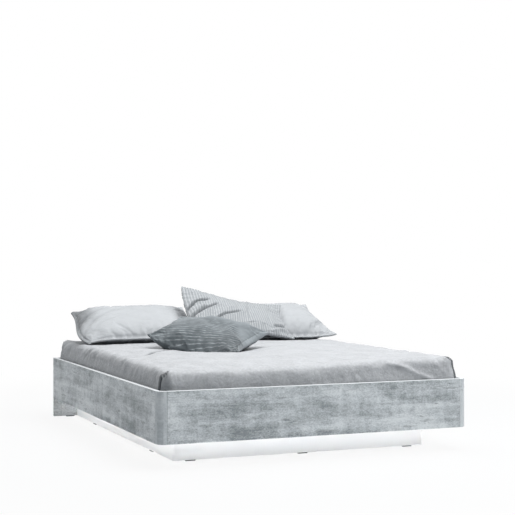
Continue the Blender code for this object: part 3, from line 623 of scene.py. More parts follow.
@dataclass(frozen=True)
class SatinSheet(Finish):
    """Cotton satin: smooth, dense weave whose floats give a soft sheen at low angles."""

    thread: float = 2.4 * MM

    def pattern(self, tree: Tree, shader: Node) -> None:
        """Satin floats, drawn 2.4 mm apart for 0.3 mm so that they show, and washed-in creasing whose
        light and shade are painted into the colour.

        Args:
            tree: the material's tree.
            shader: its shader.
        """
        place = add_node(tree, COORDS).outputs["Object"]
        floats = add_node(tree, WAVE, {
            "Vector": place, "Scale": WAVE_BAND / self.thread, "Distortion": 1.5, "Detail": 2.0},
            wave_type="BANDS", bands_direction="X")
        slub = add_node(tree, NOISE, {"Vector": place, "Scale": 90.0, "Detail": 6.0})
        crumple = add_node(tree, NOISE, {
            "Vector": place, "Scale": 11.0, "Detail": 6.0, "Roughness": 0.58, "Distortion": 0.3})
        # Painted light and shade of the creases: the crumple noise that bumps the cloth also sets the
        # colour, with the yarn's slubs.
        slub_and_painted_crease_light = add_node(tree, MATH, {0: crumple, 1: 0.8, 2: slub},
                           operation="MULTIPLY_ADD")
        shade = add_node(tree, RANGE, {
            "Value": slub_and_painted_crease_light, "From Min": 0.65, "From Max": 1.15, "To Min": 0.85, "To Max": 1.15})
        colour = add_node(tree, MIX, {
            MIX_FACTOR: 1.0, MIX_A: linear(self.tint), MIX_B: shade},
            data_type="RGBA", blend_type="MULTIPLY")
        coarse = add_node(tree, BUMP, {
            "Height": crumple, "Distance": 16 * MM, "Strength": 0.8})
        fine = add_node(tree, BUMP, {
            "Height": floats.outputs["Fac"], "Distance": 0.1 * MM, "Strength": 0.12,
            "Normal": coarse})
        rough = add_node(tree, RANGE, {
            "Value": crumple, "To Min": self.roughness - 0.07, "To Max": self.roughness + 0.07})
        feed(tree, shader, {
            "Base Color": with_painted_shade(tree, colour), "Roughness": rough, "Normal": fine,
            "Sheen Weight": 0.12, "Sheen Roughness": 0.5, "Specular IOR Level": 0.3})


@dataclass(frozen=True)
class PlainCotton(Finish):
    """Plain-weave cotton percale: matt, with fine crossing threads and soft wash creases."""

    thread: float = 2.2 * MM

    def pattern(self, tree: Tree, shader: Node) -> None:
        """Warp and weft on the cloth's own map, drawn 2.2 mm apart for 0.4 mm so that they show.

        Args:
            tree: the material's tree.
            shader: its shader.
        """
        cloth = add_node(tree, "ShaderNodeUVMap", uv_map="cloth")
        warp, weft = (add_node(tree, WAVE, {
            "Vector": cloth, "Scale": WAVE_BAND / self.thread, "Distortion": 0.4},
            wave_type="BANDS", bands_direction=way).outputs["Fac"] for way in "XY")
        weave = add_node(tree, MATH, {0: warp, 1: weft}, operation="MULTIPLY")
        crumple = add_node(tree, NOISE, {
            "Vector": cloth, "Scale": 13.0, "Detail": 6.0, "Roughness": 0.58, "Distortion": 0.6})
        coarse = add_node(tree, BUMP, {
            "Height": crumple, "Distance": 8 * MM, "Strength": 0.55})
        fine = add_node(tree, BUMP, {
            "Height": weave, "Distance": 0.15 * MM, "Strength": 0.4, "Normal": coarse})
        feed(tree, shader, {
            "Base Color": with_painted_shade(tree, self.colour(tree, cloth, crumple)), "Normal": fine,
            "Sheen Weight": 0.2, "Sheen Roughness": 0.5})

    def colour(self, tree: Tree, cloth: Node, crumple: Node) -> Node:
        """The dyed colour, a little uneven after washing.

        Args:
            tree: the material's tree.
            cloth: the cloth's flat coordinates.
            crumple: noise of the wash creases.

        Returns:
            The colour.
        """
        shade = add_node(tree, RANGE, {
            "Value": crumple, "From Min": 0.25, "From Max": 0.75, "To Min": 0.95, "To Max": 1.05})
        return add_node(tree, MIX, {
            MIX_FACTOR: 1.0, MIX_A: linear(self.tint), MIX_B: shade},
            data_type="RGBA", blend_type="MULTIPLY")


@dataclass(frozen=True)
class Seersucker(PlainCotton):
    """Seersucker: flat stripes and puckered lighter stripes side by side."""

    pitch: float = 15.5 * MM
    pale: str = "A7AAAD"

    def colour(self, tree: Tree, cloth: Node, crumple: Node) -> Node:
        """Pale puckered stripes, one for each pitch, with uneven borders.

        Args:
            tree: the material's tree.
            cloth: the cloth's flat coordinates.
            crumple: noise of the wash creases.

        Returns:
            The colour.
        """
        wave = add_node(tree, WAVE, {
            "Vector": cloth, "Scale": WAVE_BAND / self.pitch, "Distortion": 1.6, "Detail": 3.0,
            "Detail Scale": 4.0}, wave_type="BANDS", bands_direction="X")
        pale = add_node(tree, RANGE, {
            "Value": wave.outputs["Fac"], "From Min": 0.45, "From Max": 0.95, "To Max": 0.85})
        dyed = super().colour(tree, cloth, crumple)
        return add_node(tree, MIX, {
            MIX_FACTOR: pale, MIX_A: dyed, MIX_B: linear(self.pale)}, data_type="RGBA")


@dataclass(frozen=True)
class StripedWeave(PlainCotton):
    """Slubby slate weave with thin pale weft lines on its front, plain to the back and painted paler
    there as lit from above.
    """

    pitch: float = 18 * MM
    tilt: float = 0.17
    shadow: str = "434B4F"
    pale: str = "9CA3A7"
    plain_lit_back: str = "71787C"
    band: str = "878E92"
    # Seam colour: painted shade in the seam's valley.
    seam: str = "474F53"
    band_from: float = 0.269

    def lined(self, tree: Tree, cloth: Node, parts: Node) -> Node:
        """Thin worn lines over a blotchy dark ground.

        Args:
            tree: the material's tree.
            cloth: the cloth's flat coordinates.
            parts: their three parts.

        Returns:
            The colour.
        """
        slow = add_node(tree, MATH, {0: parts.outputs["X"], 1: 0.3},
                        operation="MULTIPLY")
        tilted = add_node(tree, MATH, {
            0: parts.outputs["X"], 1: -self.tilt, 2: parts.outputs["Y"]}, operation="MULTIPLY_ADD")
        stretched = add_node(tree, JOIN, {"X": slow, "Y": tilted})
        lines = add_node(tree, WAVE, {
            "Vector": stretched, "Scale": WAVE_BAND / self.pitch, "Distortion": 1.1,
            "Detail": 3.0, "Detail Scale": 3.5}, wave_type="BANDS", bands_direction="Y")
        thin = add_node(tree, RANGE, {
            "Value": lines.outputs["Fac"], "From Min": 0.76, "From Max": 0.97, "To Max": 0.7})
        broken = add_node(tree, NOISE, {
            "Vector": cloth, "Scale": 24.0, "Detail": 3.0})
        worn = add_node(tree, RANGE, {
            "Value": broken, "From Min": 0.40, "From Max": 0.58, "To Min": 0.2})
        drawn = add_node(tree, MATH, {0: thin, 1: worn}, operation="MULTIPLY")
        blotch = add_node(tree, NOISE, {
            "Vector": cloth, "Scale": 13.0, "Detail": 5.0})
        ground = add_node(tree, "ShaderNodeValToRGB", {"Fac": blotch}, stops=(
            (0.36, linear(self.shadow)), (0.66, linear(self.tint))))
        return add_node(tree, MIX, {
            MIX_FACTOR: drawn, MIX_A: ground, MIX_B: linear(self.pale)}, data_type="RGBA")

    def colour(self, tree: Tree, cloth: Node, crumple: Node) -> Node:
        """The lines up to an arched border, plain cloth beyond it painted paler as lit from above,
        and a pale end band with its seam's painted shade.

        Args:
            tree: the material's tree.
            cloth: the cloth's flat coordinates.
            crumple: noise of the wash creases.

        Returns:
            The colour.
        """
        parts = add_node(tree, SPLIT, {"Vector": cloth})
        lined = self.lined(tree, cloth, parts)
        offset = add_node(tree, MATH, {0: parts.outputs["X"], 1: 0.03},
                          operation="SUBTRACT")
        squared = add_node(tree, MATH, {0: offset, 1: 2.0}, operation="POWER")
        steep = add_node(tree, RANGE, {
            "Value": offset, "From Min": -0.02, "From Max": 0.02, "To Min": 1.4, "To Max": 2.9})
        arch = add_node(tree, MATH, {0: squared, 1: steep, 2: parts.outputs["Y"]},
                        operation="MULTIPLY_ADD")
        # Beyond the arch the cloth is plain and painted paler, as the light from above falls on the
        # upper back.
        beyond = add_node(tree, RANGE, {
            "Value": arch, "From Min": 0.060, "From Max": 0.125})
        painted_lit_back = add_node(tree, MIX, {
            MIX_FACTOR: beyond, MIX_A: lined, MIX_B: linear(self.plain_lit_back)}, data_type="RGBA")
        end = add_node(tree, RANGE, {
            "Value": parts.outputs["X"], "From Min": self.band_from,
            "From Max": self.band_from + 1 * MM})
        banded = add_node(tree, MIX, {
            MIX_FACTOR: end, MIX_A: painted_lit_back, MIX_B: linear(self.band)}, data_type="RGBA")
        gap = add_node(tree, MATH, {0: parts.outputs["X"], 1: self.band_from},
                       operation="SUBTRACT")
        near = add_node(tree, MATH, {0: gap}, operation="ABSOLUTE")
        # The seam is a 1 mm valley: its painted shade is drawn 3 mm wide so that it shows.
        seam = add_node(tree, RANGE, {
            "Value": near, "From Min": 0.5 * MM, "From Max": 2 * MM, "To Min": 0.5, "To Max": 0.0})
        return add_node(tree, MIX, {
            MIX_FACTOR: seam, MIX_A: banded, MIX_B: linear(self.seam)}, data_type="RGBA")


# Level of the rails' top, and the side rail's inner face.
RAIL_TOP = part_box("foot_panel")[1].z
RAIL_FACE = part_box("side_rail_right")[0].x
# Board decor: cloudy pale grey that reads as cast concrete; upright stains on the posts.
CONCRETE = ConcreteLaminate("melamine_concrete_laminate", "concrete_laminate", "C6CED2", 0.5,
                            edge_level=RAIL_TOP)
CONCRETE_POST = ConcreteLaminate(
    "melamine_concrete_upright", "concrete_laminate", "C6CED2", 0.5, light="E2E5E7",
    middle="C9CED1", dark="9DA3A6", edge_level=RAIL_TOP, grain=Grain.UPRIGHT)
# Plain melamine: clean white faces with a faint shine.
WHITE = Finish("white_melamine", "white_laminate", "F7F6F6", 0.38)
# Moulded plastic: near-black glides lost in the plinth's shadow.
GLIDE = Finish("moulded_polypropylene_glide", "glide_plastic", "3A3D40", 0.5)
# Planed softwood: warm yellow with brown rings along each piece.
PINE_ACROSS = Timber("planed_pine_across", "pine", "E3C697", 0.6)
PINE_ALONG = Timber("planed_pine_along", "pine", "E3C697", 0.6, along_x=False)
# Metals: dark powder coat, bright zinc, and softly shining anodised channels.
BEAM_STEEL = Finish("powder_coated_steel", "beam_steel", "3B3E41", 0.45)
ZINC = Finish("zinc_plated_steel", "zinc_steel", "C3C6C8", 0.35, 1.0)
ALUMINIUM = Finish("anodised_aluminium", "channel_aluminium", "C9CBCD", 0.3, 1.0)
# Lights: lit chips on white board, behind a milky cover that is one bright line.
STRIP_ALONG = LightStrip("flexible_light_board_along", "strip_board", "F2F1EA", 0.45)
STRIP_ACROSS = LightStrip("flexible_light_board_across", "strip_board", "F2F1EA", 0.45,
                          along_x=True)
OPAL = OpalDiffuser("opal_polycarbonate", "opal_diffuser", "F4F6F8", 0.35)
CHIP = OpalDiffuser("light_chip_phosphor", "strip_board", "F4E9B8", 0.4, glow=8.0)
# Electric parts: off-white case, black gland.
DRIVER = Finish("moulded_abs_driver", "driver_plastic", "E4E4E0", 0.45)
GLAND = Finish("moulded_polyamide_gland", "gland_plastic", "2B2C2E", 0.45)
# Mattress: matt off-white knit with a greyer woven tape round its edge.
TICKING = SatinSheet("knitted_ticking", "mattress_ticking", "E6E6E2", 0.8)
TAPE = Finish("woven_edge_tape", "mattress_ticking", "D2D3D0", 0.8)
# Bed linen: softly shining mid-grey sheet, matt mid-grey cotton with pale stitches.
SATIN = SatinSheet("cotton_satin_sheet", "satin_sheet", "A8AAAD", 0.55)
PERCALE = PlainCotton("cotton_percale", "plain_cotton", "A2A5A8", 0.7)
THREAD = Finish("sewing_thread", "plain_cotton", "C9CDD0", 0.6)
# Small pillows: ribbed grey cotton, and dark slate cloth with broken pale lines.
SUCKER = Seersucker("cotton_seersucker", "ribbed_cotton", "888C8F", 0.75)
SLATE = StripedWeave("slubby_striped_weave", "striped_weave", "585F63", 0.75)


def guide_object(points: np.ndarray, closed: bool | None = None,
                 facing: np.ndarray | None = None) -> Thing:
    """A guide for a Geometry Nodes tree.

    Args:
        points: the guide's points.
        closed: whether the line through the points closes; None leaves the points loose.
        facing: a direction for each point, kept as the attribute "facing".

    Returns:
        The guide.
    """
    count = len(points)
    edges = []
    if closed is not None:
        edges = [(i, (i + 1) % count) for i in range(count if closed else count - 1)]
    mesh = bpy.data.meshes.new("guide")
    mesh.from_pydata([tuple(map(float, point)) for point in points], edges, [])
    if facing is not None:
        layer = mesh.attributes.new("facing", "FLOAT_VECTOR", "POINT")
        layer.data.foreach_set("vector", np.asarray(facing, dtype=np.float32).ravel())
    return in_scene("guide", mesh)


@dataclass(frozen=True)
class Growth:
    """A Geometry Nodes tree that repeats a small part or follows a path."""

    name: str
    finish: Finish

    def sizes(self) -> dict[str, float]:
        """The tree's inputs and their values."""
        raise NotImplementedError

    def grown(self, tree: Tree, start: Node) -> Node:
        """Add the nodes that make the geometry.

        Args:
            tree: the growth's tree.
            start: the node of its inputs.

        Returns:
            The last node.
        """
        raise NotImplementedError

    def tree(self) -> Tree:
        """The tree with its named inputs, made on first use.

        Returns:
            The tree.
        """
        tree = bpy.data.node_groups.get(self.name)
        if tree is None:
            tree = bpy.data.node_groups.new(self.name, "GeometryNodeTree")
            tree.interface.new_socket("Geometry", in_out="INPUT", socket_type="NodeSocketGeometry")
            for size in self.sizes():
                tree.interface.new_socket(size, in_out="INPUT", socket_type="NodeSocketFloat")
            tree.interface.new_socket("Geometry", in_out="OUTPUT", socket_type="NodeSocketGeometry")
            made = self.grown(tree, add_node(tree, "NodeGroupInput"))
            real = add_node(tree, "GeometryNodeRealizeInstances", {"Geometry": made})
            painted = add_node(tree, "GeometryNodeSetMaterial", {
                "Geometry": real, "Material": self.finish.material()})
            add_node(tree, "NodeGroupOutput", {"Geometry": painted})
        return tree

    def grow(self, name: str, guide: Thing, body: str) -> Thing:
        """Run the tree on a guide and keep the result as a plain mesh.

        Args:
            name: the new piece's name.
            guide: the points or line that the tree starts from; removed afterwards.
            body: the body that carries the piece.

        Returns:
            The new piece.
        """
        tree = self.tree()
        modifier = guide.modifiers.new("growth", "NODES")
        modifier.node_group = tree
        sizes = self.sizes()
        for item in tree.interface.items_tree:
            if item.in_out == "INPUT" and item.name in sizes:
                modifier[item.identifier] = sizes[item.name]
        evaluated = guide.evaluated_get(bpy.context.evaluated_depsgraph_get())
        mesh = bpy.data.meshes.new_from_object(evaluated)
        guide.modifiers.remove(modifier)
        bpy.data.objects.remove(guide)
        piece = in_scene(name, mesh)
        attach(piece, body)
        LOG.info("grew %s with %d faces", name, len(mesh.polygons))
        return piece


@dataclass(frozen=True)
class ScrewHeads(Growth):
    """Pan-head wood screws with a round recess, one at each guide point."""

    radius: float = 3.6 * MM
    height: float = 2.4 * MM
    recess: float = 1.2 * MM

    def sizes(self) -> dict[str, float]:
        """Head radius, head height and depth of the recess."""
        return {"Radius": self.radius, "Height": self.height, "Recess": self.recess}

    def grown(self, tree: Tree, start: Node) -> Node:
        """A cone whose top face is drawn in and sunk, turned to each point's direction.

        Args:
            tree: the growth's tree.
            start: the node of its inputs.

        Returns:
            The node of the heads.
        """
        top = add_node(tree, MATH, {0: start.outputs["Radius"], 1: 0.68},
                       operation="MULTIPLY")
        head = add_node(tree, "GeometryNodeMeshCone", {
            "Vertices": 12, "Radius Top": top, "Radius Bottom": start.outputs["Radius"],
            "Depth": start.outputs["Height"]})
        rim = add_node(tree, "GeometryNodeExtrudeMesh", {
            "Mesh": head, "Selection": head.outputs["Top"], "Offset Scale": 0.0,
            "Individual": False})
        drawn = add_node(tree, "GeometryNodeScaleElements", {
            "Geometry": rim, "Selection": rim.outputs["Top"], "Scale": 0.62})
        depth = add_node(tree, MATH, {0: start.outputs["Recess"], 1: -1.0},
                         operation="MULTIPLY")
        sunk = add_node(tree, "GeometryNodeExtrudeMesh", {
            "Mesh": drawn, "Selection": rim.outputs["Top"], "Offset Scale": depth,
            "Individual": False})
        facing = add_node(tree, "GeometryNodeInputNamedAttribute", {"Name": "facing"},
                          data_type="FLOAT_VECTOR")
        turned = add_node(tree, "FunctionNodeAlignRotationToVector", {"Vector": facing}, axis="Z")
        return add_node(tree, "GeometryNodeInstanceOnPoints", {
            "Points": start.outputs["Geometry"], "Instance": sunk, "Rotation": turned})


@dataclass(frozen=True)
class Row(Growth):
    """A small part set at each pitch of a line, and turned along it."""

    def row(self, tree: Tree, start: Node, part: Node) -> Node:
        """Repeat a part along the line.

        Args:
            tree: the growth's tree.
            start: the node of its inputs, one of them the pitch.
            part: the node of the part.

        Returns:
            The node of the repeated parts.
        """
        line = add_node(tree, "GeometryNodeMeshToCurve", {"Mesh": start.outputs["Geometry"]})
        places = add_node(tree, "GeometryNodeResampleCurve", {
            "Curve": line, "Length": start.outputs["Pitch"]}, mode="LENGTH")
        tangent = add_node(tree, "GeometryNodeInputTangent")
        turned = add_node(tree, "FunctionNodeAlignRotationToVector", {"Vector": tangent}, axis="X")
        return add_node(tree, "GeometryNodeInstanceOnPoints", {
            "Points": places, "Instance": part, "Rotation": turned})


@dataclass(frozen=True)
class Stitches(Row):
    """A row of stitches along a line."""

    pitch: float = 4.5 * MM
    length: float = 3.2 * MM
    thickness: float = 0.9 * MM

    def sizes(self) -> dict[str, float]:
        """Distance from stitch to stitch, stitch length and thread thickness."""
        return {"Pitch": self.pitch, "Length": self.length, "Thickness": self.thickness}

    def grown(self, tree: Tree, start: Node) -> Node:
        """Small drawn-out balls.

        Args:
            tree: the growth's tree.
            start: the node of its inputs.

        Returns:
            The node of the stitches.
        """
        ball = add_node(tree, "GeometryNodeMeshUVSphere", {
            "Segments": 6, "Rings": 4, "Radius": 0.5})
        size = add_node(tree, JOIN, {
            "X": start.outputs["Length"], "Y": start.outputs["Thickness"],
            "Z": start.outputs["Thickness"]})
        stitch = add_node(tree, "GeometryNodeTransform", {"Geometry": ball, "Scale": size})
        return self.row(tree, start, stitch)


@dataclass(frozen=True)
class Chips(Row):
    """Light chips in a row on a light strip's face."""

    pitch: float = CHIP_PITCH
    size: float = 5.0 * MM
    height: float = 1.4 * MM

    def sizes(self) -> dict[str, float]:
        """Distance from chip to chip, chip size and chip height."""
        return {"Pitch": self.pitch, "Size": self.size, "Height": self.height}

    def grown(self, tree: Tree, start: Node) -> Node:
        """Flat boxes.

        Args:
            tree: the growth's tree.
            start: the node of its inputs.

        Returns:
            The node of the chips.
        """
        size = add_node(tree, JOIN, {
            "X": start.outputs["Size"], "Y": start.outputs["Height"], "Z": start.outputs["Size"]})
        return self.row(tree, start, add_node(tree, "GeometryNodeMeshCube", {"Size": size}))


@dataclass(frozen=True)
class Piping(Growth):
    """A round edge tape that follows a line."""

    radius: float = 3.2 * MM

    def sizes(self) -> dict[str, float]:
        """The tape's radius."""
        return {"Radius": self.radius}

    def grown(self, tree: Tree, start: Node) -> Node:
        """A circle swept along the line.

        Args:
            tree: the growth's tree.
            start: the node of its inputs.

        Returns:
            The node of the tape.
        """
        line = add_node(tree, "GeometryNodeMeshToCurve", {"Mesh": start.outputs["Geometry"]})
        circle = add_node(tree, "GeometryNodeCurvePrimitiveCircle", {
            "Resolution": 10, "Radius": start.outputs["Radius"]})
        tube = add_node(tree, "GeometryNodeCurveToMesh", {"Curve": line, "Profile Curve": circle})
        return add_node(tree, "GeometryNodeSetShadeSmooth", {"Geometry": tube})


@dataclass
class Panels:
    """The foot panel, side rails, corner posts and head panel."""

    boards: tuple[str, ...] = ("foot_panel", "side_rail_left", "side_rail_right", "head_panel")
    posts: tuple[str, ...] = ("corner_post_left", "corner_post_right")

    def dress(self) -> None:
        """Concrete decor, lengthwise on the boards and upright on the posts."""
        dress(CONCRETE, self.boards)
        dress(CONCRETE_POST, self.posts)

    def build(self) -> None:
        """The boards and posts keep their CAD meshes: nothing is added."""


@dataclass
class Base:
    """The white plinth with its glides, and the timber and steel that carry the slats."""

    plinth: tuple[str, ...] = ("plinth_front", "plinth_left", "plinth_right", "plinth_stretcher")
    ledger_pitch: float = 0.30
    sunk: float = 0.3 * MM
    # Thickness of the hangers' ears and the angles' legs, and how far in their holes lie.
    ear: float = 2 * MM
    ear_hole: float = 11 * MM
    leg: float = 2.5 * MM
    leg_hole: float = 26 * MM
    end_hole: float = 15 * MM

    def dress(self) -> None:
        """Melamine, plastic, pine and steel."""
        names = list(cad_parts)
        dress(WHITE, self.plinth)
        dress(GLIDE, [name for name in names if name.startswith("glide_")])
        dress(PINE_ACROSS, [name for name in names if name.startswith(("slat_", "bearer_"))])
        dress(PINE_ALONG, ["ledger_left", "ledger_right"])
        dress(BEAM_STEEL, ["centre_beam"])
        dress(ZINC, ["beam_hanger_foot", "beam_hanger_head", "head_angle_left", "head_angle_right"])

    def build(self) -> None:
        """Screws through the ledgers, the beam hangers and the head angles."""
        heads = ScrewHeads("screw_heads", ZINC)
        for name, places in (("ledger_screws", self.ledger_places()),
                             ("hanger_screws", self.hanger_places()),
                             ("angle_screws", self.angle_places())):
            points, facing = (np.array(column, dtype=float) for column in zip(*places))
            heads.grow(name, guide_object(points - self.sunk * facing, facing=facing), "frame")

    def ledger_places(self) -> list[Place]:
        """The screws on the ledgers' inner faces.

        Returns:
            The screws' places and directions.
        """
        places = []
        for node, inner in (("ledger_left", 1), ("ledger_right", -1)):
            low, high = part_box(node)
            face = high.x if inner > 0 else low.x
            for y in np.arange(low.y + 0.07, high.y - 0.03, self.ledger_pitch):
                places.append(((face, float(y), (low.z + high.z) / 2), (inner, 0, 0)))
        return places

    def hanger_places(self) -> list[Place]:
        """The screws through the ears of the beam's hangers.

        Returns:
            The screws' places and directions.
        """
        places = []
        for node, inner in (("beam_hanger_foot", 1), ("beam_hanger_head", -1)):
            low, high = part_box(node)
            face = low.y + self.ear if inner > 0 else high.y - self.ear
            for x in (low.x + self.ear_hole, high.x - self.ear_hole):
                places.append(((x, face, (low.z + high.z) / 2), (0, inner, 0)))
        return places

    def angle_places(self) -> list[Place]:
        """The screws through both legs of the head angles.

        Returns:
            The screws' places and directions.
        """
        places = []
        for node, inner in (("head_angle_left", 1), ("head_angle_right", -1)):
            low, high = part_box(node)
            corner = low.x if inner > 0 else high.x
            leg, hole = self.leg, self.leg_hole
            for z in (low.z + self.end_hole, high.z - self.end_hole):
                places.append(((corner + inner * leg, high.y - hole, z), (inner, 0, 0)))
                places.append(((corner + inner * hole, high.y - leg, z), (0, -1, 0)))
        return places


@dataclass
class Lighting:
    """The light runs under the frame's edge, their driver and its cord gland."""

    sides: tuple[str, ...] = ("left", "right", "foot")
    sunk: float = 0.1 * MM

    def dress(self) -> None:
        """Aluminium channels, glowing strips and diffusers, plastic driver."""
        for side in self.sides:
            dress(ALUMINIUM, [f"light_channel_{side}"])
            dress(STRIP_ACROSS if side == "foot" else STRIP_ALONG, [f"light_strip_{side}"])
            dress(OPAL, [f"light_diffuser_{side}"])
        dress(DRIVER, ["light_driver"])
        dress(GLAND, ["cord_gland"])

    def build(self) -> None:
        """Light chips along each strip, on the face that looks at the diffuser."""
        chips = Chips("light_chips", CHIP)
        for side in self.sides:
            low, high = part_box(f"light_strip_{side}")
            start, end = np.array(low), np.array(high)
            run = 0 if side == "foot" else 1
            across = 1 - run
            face = low[across] if side == "right" else high[across]
            out = -1 if side == "right" else 1
            start[across] = end[across] = face + out * (chips.height / 2 - self.sunk)
            start[2] = end[2] = (low.z + high.z) / 2
            first = math.ceil((low[run] + chips.size) / chips.pitch) * chips.pitch
            count = int((high[run] - chips.size - first) / chips.pitch)
            start[run], end[run] = first, first + count * chips.pitch + self.sunk
            line = guide_object(np.array([start, end]), closed=False)
            chips.grow(f"light_chips_{side}", line, "frame")


@dataclass
class BedForm:
    """Size and form of the mattress and of the sheet over it, as in the CAD model."""

    half_x: float = 0.795
    half_y: float = 1.014
    corner_radius: float = 0.058
    top_corner_radius: float = 0.016
    edge_radius: float = 0.048
    crown: float = 0.012
    crown_power: float = 2.4
    bulge: float = 0.002
    lean: float = 0.015
    columns: int = 210
    rows: int = 250
    side_rings: int = 18
    edge_rings: int = 11
    corner_share: float = 3.0
    corner_reach: float = 0.05
    foot_droop: float = 0.022
    left_droop: float = 0.014
    # Hollows under the pillows: middle, reach and depth.
    hollows: tuple[tuple[float, float, float, float], ...] = (
        (-0.16, -0.05, 0.25, 0.027), (-0.36, 0.72, 0.36, 0.007), (0.47, 0.68, 0.36, 0.007))
    bottom: float = field(init=False)
    top_edge: float = field(init=False)

    def __post_init__(self) -> None:
        """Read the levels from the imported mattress."""
        low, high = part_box("mattress")
        self.bottom = low.z
        self.top_edge = high.z - self.crown

    def outline(self, half_x: float, half_y: float, radius: float) -> np.ndarray:
        """Stations round a rounded rectangle, from the middle of the foot-left corner's arc.

        Args:
            half_x: half the width.
            half_y: half the length.
            radius: corner radius.

        Returns:
            One row of x and y for each station, walking round anticlockwise seen from above.
        """
        stations = []
        for quarter in range(4):
            turn = quarter * math.pi / 2
            width, depth = (half_x, half_y) if quarter % 2 == 0 else (half_y, half_x)
            count = self.columns if quarter % 2 == 0 else self.rows
            angles = np.linspace(-3 * math.pi / 4, -math.pi / 2, 12)
            first = np.stack([-width + radius + radius * np.cos(angles),
                              -depth + radius + radius * np.sin(angles)], axis=1)
            path = np.concatenate([first, (first * (-1, 1))[::-1]])
            steps = np.linalg.norm(np.diff(path, axis=0), axis=1)
            lengths = np.concatenate([[0.0], np.cumsum(steps)])
            fine = np.linspace(0, lengths[-1], 2000)
            ends = np.exp(-(fine / self.corner_reach) ** 2) + np.exp(
                -((lengths[-1] - fine) / self.corner_reach) ** 2)
            weight = np.concatenate([[0.0], np.cumsum(1 + self.corner_share * ends[1:])])
            wanted = np.interp(np.linspace(0, weight[-1], count, endpoint=False), weight, fine)
            line = np.stack([np.interp(wanted, lengths, path[:, axis]) for axis in (0, 1)], axis=1)
            cos, sin = math.cos(turn), math.sin(turn)
            stations.append(line @ np.array([[cos, sin], [-sin, cos]]))
        return np.concatenate(stations)

    def rings(self, offset: float, hem: float, side_rings: int, edge_rings: int) -> np.ndarray:
        """Rings from the hem up the sides and over the rounded edge.

        Args:
            offset: distance outside the mattress.
            hem: where the rings start, as a share of the side's height.
            side_rings: rings up the side.
            edge_rings: rings over the rounded edge.

        Returns:
            Rings of points in space.
        """
        half_x, half_y, top = self.half_x + offset, self.half_y + offset, self.top_edge + offset
        edge = self.edge_radius
        rings = []
        for share in np.linspace(hem, 1.0, side_rings):
            z = self.bottom + (top - edge - self.bottom) * share
            bulge = self.bulge * math.sin(math.pi * share) - self.lean * share * share
            ring = self.outline(half_x + bulge, half_y + bulge, self.corner_radius)
            rings.append(np.column_stack([ring, np.full(len(ring), z)]))
        for step in range(1, edge_rings + 1):
            angle = math.pi / 2 * step / edge_rings
            roll = 1 - math.cos(angle)
            inset = self.lean + edge * roll
            radius = self.corner_radius + (self.top_corner_radius - self.corner_radius) * roll
            ring = self.outline(half_x - inset, half_y - inset, radius)
            z = top - edge + edge * math.sin(angle)
            rings.append(np.column_stack([ring, np.full(len(ring), z)]))
        return np.array(rings)

    def crown_rise(self, x: np.ndarray, y: np.ndarray, outside: float) -> np.ndarray:
        """How far the top rises above its edge.

        Args:
            x: places across the bed.
            y: places along it.
            outside: distance outside the mattress.

        Returns:
            The rise at each place.
        """
        top_x = self.half_x + outside - self.lean - self.edge_radius
        top_y = self.half_y + outside - self.lean - self.edge_radius
        share = np.clip(np.maximum(np.abs(x) / top_x, np.abs(y) / top_y), 0, 1)
        rise = self.crown * (1 - share ** self.crown_power)
        for middle_x, middle_y, reach, depth in self.hollows:
            gap = ((x - middle_x) ** 2 + (y - middle_y) ** 2) / reach ** 2
            rise = rise - depth * np.exp(-gap) * smoothstep(1.0, 0.85, share)
        return rise

    def drooped(self, points: np.ndarray) -> np.ndarray:
        """Let the top sink towards the foot and left edges, with a softer roll below it.

        Args:
            points: points of the mattress or the sheet.

        Returns:
            The same points, lower where the photograph shows a worn edge.
        """
        x, y, z = points.T
        foot = self.foot_droop * smoothstep(0.34, -0.05, x) * smoothstep(0.24, 0.0, y + self.half_y)
        left = self.left_droop * smoothstep(0.15, -0.40, y) * smoothstep(0.20, 0.0, x + self.half_x)
        amount = (foot ** 3 + left ** 3) ** (1 / 3)
        roll = self.top_edge - self.edge_radius
        share = np.where(z > roll, 1 + 1.4 * smoothstep(self.top_edge, roll, z),
                         2.4 * smoothstep(self.bottom, roll, z))
        return np.column_stack([x, y, z - amount * share])

    def sheet_top(self, x: np.ndarray, y: np.ndarray) -> np.ndarray:
        """Height of the made bed's smooth top, level beyond its edges."""
        return self.top_edge + SHEET_OUTSIDE + self.crown_rise(x, y, SHEET_OUTSIDE)

